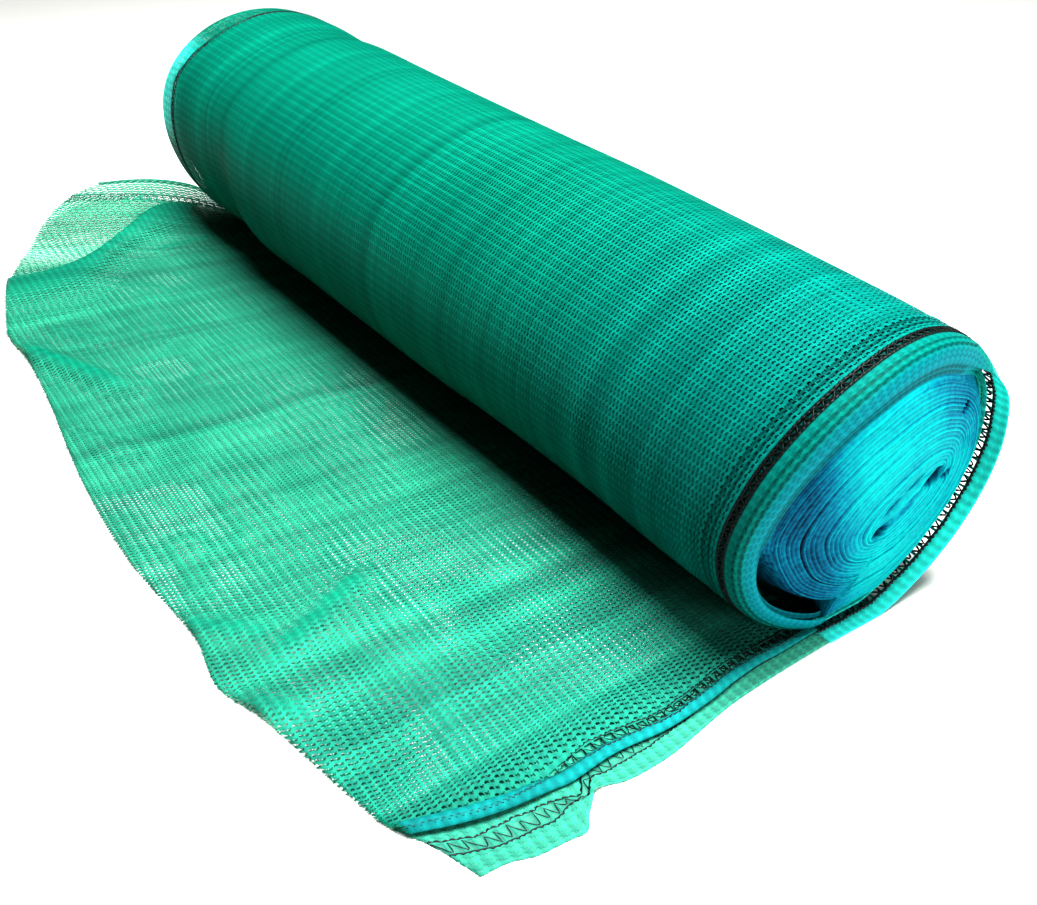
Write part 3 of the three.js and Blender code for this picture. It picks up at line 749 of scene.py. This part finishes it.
# %% The grid of the loose end
def loose_grid():
    """The doubled net from its lower selvedge round the fold to its upper selvedge."""
    even_ways = np.linspace(0, 1, 80)
    notch_ways = np.linspace(0.66, 0.79, 22)
    ways = np.unique(np.concatenate([even_ways, notch_ways]).round(4))
    lower_lines = np.concatenate([
        np.linspace(NEAR_EDGE, 402, 16), np.linspace(393, -400, 74), np.linspace(-410, -462, 8)])
    flat_lines = np.linspace(-235, 385, 74)
    rows = []
    for way in ways:
        lower = on_floor(lower_lines, way)
        from_edge = (NEAR_EDGE - lower_lines) / (NEAR_EDGE - NEAR_BAND_AT)
        band_out, edge_out = (curve(LOWER_EDGE[:, 0], LOWER_EDGE[:, k], way) for k in (1, 2))
        beyond = edge_out + (band_out - edge_out) * np.minimum(from_edge, 1)
        lower[:, 0] += beyond * (1 - smooth(from_edge, 1, 3))
        pleat = math.exp(-((way - PLEAT["way"]) / PLEAT["length"]) ** 2)
        lower[:, 2] += FLOOR_LAYER + PLEAT["high"] * pleat * (
            1 - smooth(NEAR_EDGE - lower_lines, 4, PLEAT["wide"]))
        bend = np.linspace(-90, 90, HAIRPIN_POINTS)
        mid = (FLOOR_LAYER + UPPER_LAYER) / 2
        half = (UPPER_LAYER - FLOOR_LAYER) / 2
        hairpin = on_floor(np.full(HAIRPIN_POINTS, float(FAR_EDGE)), way)
        hairpin[:, 0] += 1.2 * (1 - np.cos(np.radians(bend)))
        hairpin[:, 2] += mid + half * np.sin(np.radians(bend))
        edge = float(curve(ALONG[:, 0], ALONG[:, 2], way))
        high = max(0.0, float(curve(ALONG[:, 0], ALONG[:, 3], way)))
        fold_lines = edge + np.linspace(-7, 80, 26)
        flap_lines = np.linspace(FAR_EDGE + 4, fold_lines[0], 9)[:-1]
        band, selvedge, roll = (
            float(curve(UPPER_EDGE[:, 0], UPPER_EDGE[:, k], way)) for k in (1, 2, 3))
        rim_lines = np.linspace(flat_lines[-1], selvedge, 26)[1:]
        gap_lines = np.linspace(fold_lines[-1], flat_lines[0], 14)[1:-1]
        upper_lines = np.concatenate([flap_lines, fold_lines, gap_lines, flat_lines, rim_lines])
        upper = on_floor(upper_lines, way)
        settled = smooth(way, 0.08, 0.4)
        height, crease_dense = creases_at(upper[:, 0], upper[:, 1])
        inward = upper_lines - edge
        fold_height = high * np.maximum(0, curve(FOLD[:, 0], FOLD[:, 1], inward))
        free = smooth(inward, 40, 110) * settled
        in_roll = smooth(upper_lines, selvedge - 8.5, selvedge - 5)
        rolled = roll * in_roll * (1 - 0.6 * smooth(upper_lines, selvedge - 3, selvedge))
        uneven = np.maximum(ripples(upper[:, 0], upper[:, 1]), -0.7)
        upper[:, 2] += UPPER_LAYER + fold_height + free * (height + uneven) + rolled
        in_fold = smooth(inward, -6, 2) * (1 - smooth(inward, 16, 46)) * smooth(high, 2, 10)
        upper_dense = np.maximum(crease_dense * settled, 0.8 * in_fold)
        thinned = 0.4 * (1 - smooth(upper_lines, NEAR_BAND_AT - 66, NEAR_BAND_AT - 34))
        upper_dense = upper_dense - thinned * (1 - smooth(upper_dense, 0, 0.35))
        upper_dense = np.maximum(upper_dense, 0.9 * in_roll)
        on_flap = 0.85 * (1 - smooth(inward, -16, -5)) * smooth(way, 0.2, 0.4)
        upper_dense = np.where(inward < -5, -on_flap, upper_dense)
        lower_dense = -0.75 + 1.3 * smooth(lower_lines, NEAR_BAND_AT - 32, NEAR_BAND_AT - 22)
        # painted light: the lower layer is tinted paler, as if lit through, so it stays light under
        # the upper layer
        lower_light_tint = -0.75 + 0.52 * smooth(lower_lines, NEAR_BAND_AT - 32, NEAR_BAND_AT - 22)
        phase = 0.5 + 0.5 * np.sin(upper[:, 0] / 46 + 2.2 * np.sin(upper[:, 1] / 58 + 0.6))
        shift = 1.62 * phase * smooth(upper_lines, edge - 4, edge + 40)
        upper_band = np.abs(upper_lines - band)
        if way >= 0.75:
            upper_band = np.full(len(upper_lines), float(FAR_OFF))
        band_upper = np.minimum(upper_band, np.abs(upper_lines - FAR_BAND_AT))
        in_hairpin = np.ones(HAIRPIN_POINTS)
        hairpin_across = HAIRPIN_ACROSS + np.linspace(0, 3, HAIRPIN_POINTS)
        rows.append({
            "points": np.concatenate([lower, hairpin, upper]),
            "line": np.concatenate([lower_lines, FAR_EDGE * in_hairpin, upper_lines + shift]),
            "across": np.concatenate([
                NEAR_EDGE - lower_lines, hairpin_across, UPPER_ACROSS + upper_lines - FAR_EDGE]),
            "band": np.concatenate([
                from_band(lower_lines, (NEAR_BAND_AT,)), 25 * in_hairpin, band_upper]),
            "dense": np.concatenate([lower_dense, 0.9 * in_hairpin, upper_dense]),
            # painted light: the rolled selvedge is tinted turquoise for the light at the near end, and
            # the flap is tinted paler
            "painted_light_tint": np.concatenate([lower_light_tint, 0 * in_hairpin, 0.65 * in_roll - 0.3 * on_flap]),
            "upper": np.array((band, selvedge)),
        })
    keys = ("points", "line", "across", "band", "dense", "painted_light_tint", "upper")
    return [ways] + [np.stack([row[key] for row in rows]) for key in keys]


(ways, loose_points, loose_line, loose_across, loose_band, loose_dense, loose_light_tint,
 upper_edge) = loose_grid()
reach = curve(LINES[:, 0], LINES[:, 2], np.clip(loose_line, FAR_EDGE, NEAR_EDGE))
loose_along = -ways[:, None] * (reach + STEP_Y)
loose_net = new_piece("loose_net", [cloth_part(
    loose_points[:, ::-1], NET_THICK, loose_line[:, ::-1], loose_along[:, ::-1],
    loose_band[:, ::-1], loose_dense[:, ::-1], loose_light_tint[:, ::-1], float(FAR_OFF),
)])

# %% [markdown]
# ## The eyelet bands
#
# Beside each selvedge, and along the middle of the net where it is folded, the maker knits in a
# band for ties: two black chains with a black thread that zigzags between them over open
# eyelets. We lay them as thread curves on the cloth, sampled about every millimetre, give each
# curve a thin bevel and turn it into a mesh.


# %% Threads along a band
THREAD_STEP = 1.1                       # millimetres between two samples of a thread
CHAIN_STITCH = 3.3
ZIGZAG_STITCH = 6.6


def point_on(grid, across, row, wanted):
    """A point of a cloth at a fractional row and a place across it."""
    low = int(min(max(math.floor(row), 0), len(grid) - 2))
    ends = []
    for r in (low, low + 1):
        order = across[r]
        ends.append([np.interp(wanted, order, grid[r, :, axis]) for axis in range(3)])
    return np.array(ends[0]) + (np.array(ends[1]) - np.array(ends[0])) * (row - low)


def band_threads(name, grid, across, middle, half, along_rows, radius, seed):
    """The two chains and the zigzag of one band, as one mesh of thin round threads."""
    data = bpy.data.curves.new(name, "CURVE")
    data.dimensions = "3D"
    data.bevel_depth = 0.001
    data.bevel_resolution = 0
    data.use_fill_caps = True
    steps = int(abs(along_rows[-1] - along_rows[0]) / THREAD_STEP)
    along = np.linspace(0, abs(along_rows[-1] - along_rows[0]), steps)
    row_at = np.interp(along, np.abs(along_rows - along_rows[0]), np.arange(len(along_rows)))
    centre = np.interp(row_at, np.arange(len(middle)), middle)
    spread = np.interp(row_at, np.arange(len(half)), half)
    radius = np.interp(row_at, np.arange(len(middle)), radius + 0 * middle)
    stitch = np.sin(along * 2 * math.pi / CHAIN_STITCH)
    wobble = 0.14 * spread * wave(along / 5.2, seed)
    swing = along / ZIGZAG_STITCH + 0.3 * wave(along / 11, seed + 4)
    zigzag = spread * (3.3 * np.abs(swing % 1 - 0.5) - 0.83)
    zigzag = zigzag + 0.6 * np.minimum(1, spread / 2) * wave(along / 2.9, seed + 2)
    laid = (
        (spread + 0.3 * stitch + wobble, radius * (1.0 + 0.45 * stitch)),
        (-spread + 0.3 * stitch + 0.8 * wobble, radius * (1.0 - 0.45 * stitch)),
        (zigzag, 0.7 * radius),
    )
    for offset, beads in laid:
        spline = data.splines.new("POLY")
        spline.points.add(steps - 1)
        places = [point_on(grid, across, r, c + o) for r, c, o in zip(row_at, centre, offset)]
        flat = np.concatenate([np.array(places) * 0.001, np.ones((steps, 1))], axis=1)
        spline.points.foreach_set("co", flat.ravel())
        spline.points.foreach_set("radius", beads)
    threads = bpy.data.objects.new(name, data)
    bpy.context.scene.collection.objects.link(threads)
    bpy.ops.object.select_all(action="DESELECT")
    threads.select_set(True)
    bpy.context.view_layer.objects.active = threads
    bpy.ops.object.convert(target="MESH")
    threads = bpy.context.object
    threads.data.shade_smooth()
    print(f"{name}: {sum(len(face.vertices) - 2 for face in threads.data.polygons)} triangles")
    return threads


turn_angle = angles_round(TURN_ANGLES)
turn_half = 2.3 + 2.0 * end_shares(turn_angle)[0]
turn_along = outer_along[:, 0]
near_turn_band = band_threads(
    "near_turn_band", outer_grid, -outer_line, np.full(TURN_ANGLES + 1, -float(NEAR_BAND_AT)),
    turn_half, turn_along, 0.85 + 0.15 * end_shares(turn_angle)[0], 1)
far_turn_band = band_threads(
    "far_turn_band", outer_grid, -outer_line, np.full(TURN_ANGLES + 1, -float(FAR_BAND_AT)),
    np.full(TURN_ANGLES + 1, 2.2), turn_along, 0.55, 2)
rows = len(loose_points)
lower_band = band_threads(
    "lower_band", loose_points, loose_across, np.full(rows, float(NEAR_EDGE - NEAR_BAND_AT)),
    4.2 - 1.6 * smooth(ways, 0.6, 0.7) * (1 - smooth(ways, 0.74, 0.8)), -loose_along[:, 0] + 0,
    0.55, 3)
upper_band = band_threads(
    "upper_band", loose_points, loose_across, UPPER_ACROSS + upper_edge[:, 0] - FAR_EDGE,
    3.8 - 3.6 * smooth(ways, 0.62, 0.78), -loose_along[:, -1] + 0,
    0.5 - 0.28 * smooth(ways, 0.6, 0.74), 4)
FOLD_COLUMN = 110                       # a column of the loose net beside the far fold's band
fold_band = band_threads(
    "fold_band", loose_points, loose_across,
    np.full(rows, float(UPPER_ACROSS + FAR_BAND_AT - FAR_EDGE)),
    3.4 - 2 * smooth(ways, 0.3, 0), -loose_along[:, FOLD_COLUMN] + 0, 0.38, 5)

# %% [markdown]
# ## The cut end
#
# Knife-cut netting doesn't unravel, but each wale is left with a short tail. We add about one
# thin tail for each wale of both layers, with seeded chance for its length and lean.


# %% Tails of the cut wales
TAILS = 560
TAIL_SECTIONS = ((-0.4, 0.24), (0.5, 0.2), (1.0, 0.05))  # share of the length, radius


def tails_along(grid, count):
    """Short tapered tails at the cloth's cut edge, each with three sides."""
    chance = random.Random(11)
    corners = []
    faces = []
    edge = grid[-1]
    before = grid[-3]
    for i in range(count):
        at = (i + 0.5) / count * (len(edge) - 1) + chance.uniform(-0.3, 0.3)
        low = int(min(max(math.floor(at), 0), len(edge) - 2))
        root = edge[low] + (edge[low + 1] - edge[low]) * (at - low)
        inner = before[low] + (before[low + 1] - before[low]) * (at - low)
        forward = (root - inner) / np.linalg.norm(root - inner)
        side = np.cross(forward, (0, 0, 1))
        length = chance.uniform(0.6, 2.4) * (1.7 if chance.random() < 0.08 else 1)
        lean = chance.uniform(-0.5, 0.5)
        rise = chance.uniform(-0.05, 0.35)
        start = len(corners)
        for share, thick in TAIL_SECTIONS:
            spine = root + forward * length * share + side * lean * length * share**2
            spine = spine + np.array((0, 0, rise * length * max(share, 0)))
            spine[2] = max(spine[2], 0.35)
            for turn in range(3):
                around = 2 * math.pi * turn / 3
                corners.append(spine + side * thick * math.cos(around)
                               + np.array((0, 0, thick * math.sin(around))))
        for ring in (0, 3):
            for turn in range(3):
                a = start + ring + turn
                b = start + ring + (turn + 1) % 3
                faces.append([a, b, b + 3, a + 3])
        faces.append([start + 2, start + 1, start])
        faces.append([start + 6, start + 7, start + 8])
    place = np.tile((0.0, 0.0, float(FAR_OFF)), (len(corners), 1))
    solid = np.ones(len(corners))
    return np.array(corners), faces, {
        "net_place": place, "dense": solid, "painted_light_tint": 0 * solid, "strip": FAR_OFF * solid}


cut_tails = new_piece("cut_tails", [tails_along(loose_points, TAILS)])
bpy.ops.object.select_all(action="DESELECT")
cut_tails.select_set(True)
bpy.context.view_layer.objects.active = cut_tails
bpy.ops.object.mode_set(mode="EDIT")
bpy.ops.mesh.select_all(action="SELECT")
bpy.ops.mesh.normals_make_consistent(inside=False)
bpy.ops.object.mode_set(mode="OBJECT")

# %% [markdown]
# ## What the net is made of
#
# The net is warp-knitted from high-density polyethylene tape, dyed right through. Its wales run
# along the cloth a little over 3 mm apart and lean from side to side every 3.3 mm, where the
# courses tie them together. Polyethylene is waxy: it lets light through, and its sheen is soft.
# The holes are cut out of the shader, so the floor and the lower layer show through the upper.

# %% Knit sizes in millimetres
WALE = 3.25                             # from one wale to the next
COURSE = 3.3                            # from one course to the next
WALE_HALF = 0.92                        # half the width of a wale
COURSE_HALF = 0.42                      # half the width of a course
SOFT_EDGE = 0.12                        # how softly a wale or a course ends
LEAN = 0.42                             # how far a wale leans for each millimetre along
EYELET = 6.6                            # from one eyelet to the next


def off_middle(tree, place, pitch):
    """The number of repeats up to a place, and its distance from the nearest repeat's middle."""
    repeats = node(tree, "ShaderNodeMath", {1: pitch}, {0: place}, operation="DIVIDE")
    share = node(tree, "ShaderNodeMath", links={0: repeats.outputs[0]}, operation="FRACT")
    offset = node(tree, "ShaderNodeMath", {1: 0.5}, {0: share.outputs[0]}, operation="SUBTRACT")
    distance = node(tree, "ShaderNodeMath", links={0: offset.outputs[0]}, operation="ABSOLUTE")
    return repeats.outputs[0], distance.outputs[0]


def strand(tree, distance, pitch, half, jitter):
    """1 on a strand and 0 beside it, with a soft and slightly uneven edge."""
    off = node(tree, "ShaderNodeMath", {1: pitch}, {0: distance, 2: jitter},
               operation="MULTIPLY_ADD")
    drawn = node(tree, "ShaderNodeMapRange", {1: half + SOFT_EDGE, 2: half - SOFT_EDGE},
                 {0: off.outputs[0]}, interpolation_type="SMOOTHSTEP")
    return drawn.outputs[0]


def uneven_by(tree, where, scale, detail, limits):
    """A noise value over a place, brought into limits."""
    noise = node(tree, "ShaderNodeTexNoise", {"Scale": scale, "Detail": detail}, {"Vector": where})
    return node(tree, "ShaderNodeMapRange", limits, {0: noise.outputs["Fac"]}).outputs[0]


def knit(tree):
    """Draws the knit from each point's place in the flat net and returns its sockets."""
    place = node(tree, "ShaderNodeAttribute", attribute_name="net_place")
    split = node(tree, "ShaderNodeSeparateXYZ", links={0: place.outputs["Vector"]})
    across, along, band = split.outputs
    dense = node(tree, "ShaderNodeAttribute", attribute_name="dense")
    thin = node(tree, "ShaderNodeMapRange", {1: -1, 2: 0, 3: 0.42, 4: 0}, {
        0: dense.outputs["Fac"]})
    frayed = uneven_by(tree, place.outputs["Vector"], 0.55, 1.0, {3: -0.3, 4: 0.3})
    jitter = node(tree, "ShaderNodeMath", links={0: frayed, 1: thin.outputs[0]}, operation="ADD")
    # the wales lean to one side and back again, and the courses tie them together
    sway = node(tree, "ShaderNodeMath", {1: COURSE}, {0: along}, operation="PINGPONG")
    leaning = node(tree, "ShaderNodeMath", {1: LEAN}, {0: sway.outputs[0], 2: across},
                   operation="MULTIPLY_ADD")
    wales, off_wale = off_middle(tree, leaning.outputs[0], WALE)
    wale = strand(tree, off_wale, WALE, WALE_HALF, jitter.outputs[0])
    off_course = off_middle(tree, along, COURSE)[1]
    course = strand(tree, off_course, COURSE, COURSE_HALF, jitter.outputs[0])
    mesh = node(tree, "ShaderNodeMath", links={0: wale, 1: course}, operation="MAXIMUM")
    # along a band the knit leaves eyelets open, with a bar between each two
    off_eyelet = off_middle(tree, along, EYELET)[1]
    bar = node(tree, "ShaderNodeMapRange", {1: 0.36, 2: 0.40}, {0: off_eyelet})
    beside = node(tree, "ShaderNodeMapRange", {1: 2.9, 2: 3.3}, {0: band})
    eyelet = node(tree, "ShaderNodeMath", links={0: bar.outputs[0], 1: beside.outputs[0]},
                  operation="MAXIMUM")
    near_band = node(tree, "ShaderNodeMapRange", {1: 5.0, 2: 5.5}, {0: band})
    choose = node(tree, "ShaderNodeMix", links={
        0: near_band.outputs[0], 2: eyelet.outputs[0], 3: mesh.outputs[0]}, data_type="FLOAT")
    cover = node(tree, "ShaderNodeMath", links={0: choose.outputs[0], 1: dense.outputs["Fac"]},
                 operation="MAXIMUM", use_clamp=True)
    number = node(tree, "ShaderNodeMath", links={0: wales}, operation="FLOOR")
    shade = node(tree, "ShaderNodeTexWhiteNoise", links={1: number.outputs[0]}, noise_dimensions="1D")
    streak = node(tree, "ShaderNodeTexNoise", {"Scale": 0.05, "Detail": 4.0},
                  {"W": across}, noise_dimensions="1D")
    # the lean of the wales, for the painted light that the wales leaning one way catch
    turned = node(tree, "ShaderNodeMath", {1: math.pi / COURSE}, {0: along}, operation="MULTIPLY")
    lean = node(tree, "ShaderNodeMath", links={0: turned.outputs[0]}, operation="SINE")
    return {
        "cover": cover.outputs[0], "height": mesh.outputs[0], "shade": shade.outputs["Value"],
        "streak": streak.outputs["Fac"], "lean": lean.outputs[0], "dense": dense.outputs["Fac"],
    }


# %% [markdown]
# ## The net's colour
#
# The dye is one green. The net is painted from green at the far end to turquoise at the near end,
# for the bluish light there. Net in deep folds is painted darker for their shade, and net that lets
# light through is painted paler. So each net has five dyes that are mixed from place to place. The
# loose net's are painted paler, for the light that the floor sends back through it. A chance value
# for each wale and a slow streak across the cloth vary the brightness.

# %% Netting with holes
# the far end's dye, the near end's painted turquoise for the bluish light there, tucked or rolled net
# painted turquoise for the same light, net painted paler where light comes through, and net painted
# darker for the shade in deep folds
WOUND_DYES = ("069a83", "06938a", "0496a0", "46f0e6", "069286")
# the loose net's dyes are paler still: painted light that the floor sends back through it
LOOSE_DYES = ("40b096", "36b09c", "04a6ae", "94ecd0", "07a487")
# distance past the turn's band, half width, and how bright the net is left there
BAND_SHADES = (
    (-14.4, 0.8, 0.45), (-9.6, 0.8, 0.5), (0, 3.2, 0.12), (9.4, 0.7, 0.5), (13.6, 0.7, 0.55),
)
STRIP_RANGE = 24                        # how far to each side of the band the shades may lie


def shown_through(tree):
    """How far the black threads of the layers beneath darken the net beside the turn's band."""
    strip = node(tree, "ShaderNodeAttribute", attribute_name="strip")
    share = node(tree, "ShaderNodeMapRange", {1: -STRIP_RANGE, 2: STRIP_RANGE}, {
        0: strip.outputs["Fac"]})
    shades = node(tree, "ShaderNodeValToRGB", links={0: share.outputs[0]})
    stops = shades.color_ramp.elements
    stops[0].color = (1, 1, 1, 1)
    stops[1].color = (1, 1, 1, 1)
    for middle, half, left in BAND_SHADES:
        for place, value in ((-half - 0.7, 1), (-half, left), (half, left), (half + 0.7, 1)):
            stop = stops.new(0.5 + (middle + place) / (2 * STRIP_RANGE))
            stop.color = (value, value, value, 1)
    return shades.outputs["Color"]


def dyed(tree, sockets, painted_light_tint, dyes):
    """The colour of the dyes at each place, varied wale by wale, with painted light and shade."""
    # near and tucked are turquoise for the bluish light at the near end, lit_through is painted light
    # through the net, and deep is painted fold shade
    far, near, tucked, lit_through, deep = dyes
    spot = node(tree, "ShaderNodeTexCoord")
    where = node(tree, "ShaderNodeSeparateXYZ", links={0: spot.outputs["Object"]})
    # painted light: from x = 0.1 to 0.47 the far dye turns into the near end's turquoise
    near_end_light_share = node(tree, "ShaderNodeMapRange", {1: 0.1, 2: 0.47}, {0: where.outputs["X"]},
                 interpolation_type="SMOOTHSTEP")
    dye = node(tree, "ShaderNodeMix", {6: linear(far), 7: linear(near)},
               {0: near_end_light_share.outputs[0]}, data_type="RGBA")
    light_tinted = node(tree, "ShaderNodeMix", {7: linear(tucked)}, {0: painted_light_tint, 6: dye.outputs["Result"]},
                  data_type="RGBA")
    patches = node(tree, "ShaderNodeTexNoise", {"Scale": 9.0, "Detail": 3.0}, {
        "Vector": spot.outputs["Object"]})
    # how much the brightness varies by wale, by streak and by patch, and the painted light that the
    # wales leaning one way catch
    ranges = (
        ({3: 0.9, 4: 1.08}, sockets["shade"]),
        ({1: 0.3, 2: 0.7, 3: 0.82, 4: 1.1}, sockets["streak"]),
        ({1: 0.3, 2: 0.7, 3: 0.9, 4: 1.07}, patches.outputs["Fac"]),
        ({1: -1, 2: 1, 3: 0.86, 4: 1.1}, sockets["lean"]),
    )
    value = shown_through(tree)
    for limits, source in ranges:
        part = node(tree, "ShaderNodeMapRange", limits, {0: source})
        product = node(tree, "ShaderNodeMath", links={0: value, 1: part.outputs[0]},
                       operation="MULTIPLY")
        value = product.outputs[0]
    through = node(tree, "ShaderNodeMapRange", {1: 0, 2: -1, 3: 0, 4: 1}, {0: painted_light_tint})
    pale = node(tree, "ShaderNodeMix", {7: linear(lit_through)}, {
        0: through.outputs[0], 6: light_tinted.outputs["Result"]}, data_type="RGBA")
    # painted shade: net that lies in more layers, in folds and creases, is mixed towards the darker
    # deep dye, except where painted light tints it
    layers = node(tree, "ShaderNodeMapRange", {1: 0.1, 2: 1, 3: 0, 4: 0.9}, {0: sockets["dense"]})
    light_tint_size = node(tree, "ShaderNodeMath", links={0: painted_light_tint}, operation="ABSOLUTE")
    untinted = node(tree, "ShaderNodeMapRange", {1: 0, 2: 0.3, 3: 1, 4: 0}, {0: light_tint_size.outputs[0]})
    folded = node(tree, "ShaderNodeMath", links={0: layers.outputs[0], 1: untinted.outputs[0]},
                  operation="MULTIPLY")
    fold_shaded = node(tree, "ShaderNodeMix", {7: linear(deep)}, {
        0: folded.outputs[0], 6: pale.outputs["Result"]}, data_type="RGBA")
    varied = node(tree, "ShaderNodeHueSaturation", {"Hue": 0.5, "Saturation": 1.0}, {
        "Value": value, "Color": fold_shaded.outputs["Result"]})
    return varied.outputs["Color"]


def holed_net(name, dyes, glow_share):
    """Knitted tape with holes between its wales. The glow is light that comes through the tape."""
    cloth = new_material(name)
    tree = cloth.node_tree
    sockets = knit(tree)
    painted_light_tint = node(tree, "ShaderNodeAttribute", attribute_name="painted_light_tint")
    colour = dyed(tree, sockets, painted_light_tint.outputs["Fac"], dyes)
    relief = node(tree, "ShaderNodeBump", {"Strength": 0.4, "Distance": 0.0004}, {
        "Height": sockets["height"]})
    skin = node(tree, "ShaderNodeBsdfPrincipled", {
        "Roughness": 0.5, "IOR": 1.5, "Specular IOR Level": 0.06}, {
        "Base Color": colour, "Normal": relief.outputs["Normal"]})
    glow = node(tree, "ShaderNodeBsdfTranslucent", links={"Color": colour})
    tape = node(tree, "ShaderNodeMixShader", {0: glow_share}, {
        1: skin.outputs["BSDF"], 2: glow.outputs["BSDF"]})
    hole = node(tree, "ShaderNodeBsdfTransparent")
    cut = node(tree, "ShaderNodeMixShader", links={
        0: sockets["cover"], 1: hole.outputs["BSDF"], 2: tape.outputs["Shader"]})
    node(tree, "ShaderNodeOutputMaterial", links={"Surface": cut.outputs["Shader"]})
    return cloth


net_on_roll = holed_net("warp_knitted_polyethylene_net", WOUND_DYES, 0.42)
net_on_floor = holed_net("loose_polyethylene_net", LOOSE_DYES, 0.55)

# %% [markdown]
# ## The turns under it
#
# Below the outermost turn no hole goes right through: what looks like a hole is the next turn in
# shade. So the body is solid, with its own knit painted darker between the wales for that shade, and
# where the two knits cross they make the faint stripes of two nets on each other. At the ends we look
# on the edges of the turns. There the valleys are painted in deep blue-green shade and the lips are
# painted lighter, where they would catch the light.

# %% Wound netting
wound_cloth = new_material("wound_polyethylene_net")
tree = wound_cloth.node_tree
sockets = knit(tree)
# the turns' painted light and shade with their tone, the turn, and whether a point is on a face
tone = node(tree, "ShaderNodeAttribute", attribute_name="turn_shade_and_tone")
tones = node(tree, "ShaderNodeSeparateXYZ", links={0: tone.outputs["Vector"]})
level = tones.outputs["X"]
faced = tones.outputs["Z"]
colour = dyed(tree, sockets, faced, WOUND_DYES)
# painted shade: the body's knit is darker between the wales, where the next turn lies in shade
between = node(tree, "ShaderNodeMapRange", {3: 0.68, 4: 0.96}, {0: sockets["height"]})
knitted = node(tree, "ShaderNodeHueSaturation", {"Saturation": 1.0}, {
    "Value": between.outputs[0], "Color": colour})
spot = node(tree, "ShaderNodeTexCoord")
fine = uneven_by(tree, spot.outputs["Object"], 330.0, 2.0, {1: 0.3, 2: 0.7, 3: -0.09, 4: 0.09})
slow = uneven_by(tree, spot.outputs["Object"], 26.0, 2.0, {1: 0.3, 2: 0.7, 3: -0.08, 4: 0.08})
shifts = node(tree, "ShaderNodeMath", links={0: fine, 1: slow}, operation="ADD")
face_level = node(tree, "ShaderNodeMath", links={0: level, 1: shifts.outputs[0]}, operation="ADD")
# a face's painted light and shade, from dark blue where its tone is low to turquoise where it is high
face_colour = node(tree, "ShaderNodeValToRGB", links={0: face_level.outputs[0]})
ramp = face_colour.color_ramp
ramp.elements[0].position = 0.0
ramp.elements[0].color = linear("020c1c")
ramp.elements[1].position = 1.0
ramp.elements[1].color = linear("0ca8a3")
for position, shade in ((0.2, "043b54"), (0.45, "05667d"), (0.75, "059395")):
    stop = ramp.elements.new(position)
    stop.color = linear(shade)
whole = node(tree, "ShaderNodeMix", links={
    0: faced, 6: knitted.outputs["Color"], 7: face_colour.outputs["Color"]}, data_type="RGBA")
skin = node(tree, "ShaderNodeBsdfPrincipled", {
    "Roughness": 0.6, "IOR": 1.5, "Specular IOR Level": 0.02}, {"Base Color": whole.outputs["Result"]})
node(tree, "ShaderNodeOutputMaterial", links={"Surface": skin.outputs["BSDF"]})

# %% [markdown]
# ## The black thread
#
# The chains are polyethylene too, coloured black with soot against the sun. Black plastic thread
# is never quite black: it keeps a dull shine along its top.

# %% Black thread
black_thread = new_material("black_polyethylene_thread")
tree = black_thread.node_tree
spot = node(tree, "ShaderNodeTexCoord")
grains = node(tree, "ShaderNodeTexNoise", {"Scale": 400.0, "Detail": 2.0}, {
    "Vector": spot.outputs["Object"]})
blacks = node(tree, "ShaderNodeMix", {6: linear("020605"), 7: linear("0c1a16")}, {
    0: grains.outputs["Fac"]}, data_type="RGBA")
thread = node(tree, "ShaderNodeBsdfPrincipled", {
    "Roughness": 0.5, "IOR": 1.5, "Specular IOR Level": 0.25}, {
    "Base Color": blacks.outputs["Result"]})
node(tree, "ShaderNodeOutputMaterial", links={"Surface": thread.outputs["BSDF"]})

# %% [markdown]
# ## Putting the pieces on the part
#
# Nothing moves against anything else here, so every piece rides on the one body. The wound net
# and its outermost turn stand for the CAD roll, and the loose net stands for the CAD sheet.

# %% Ride and replace
bands = [near_turn_band, far_turn_band, lower_band, upper_band, fold_band]
for piece, cloth in ((wound_net, wound_cloth), (outer_turn, net_on_roll),
                     (loose_net, net_on_floor), (cut_tails, net_on_floor)):
    piece.data.materials.append(cloth)
for piece in bands:
    piece.data.materials.clear()
    piece.data.materials.append(black_thread)
for piece in [wound_net, outer_turn, loose_net, cut_tails] + bands:
    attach(piece, "root")
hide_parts("wound_roll")
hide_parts("loose_end")
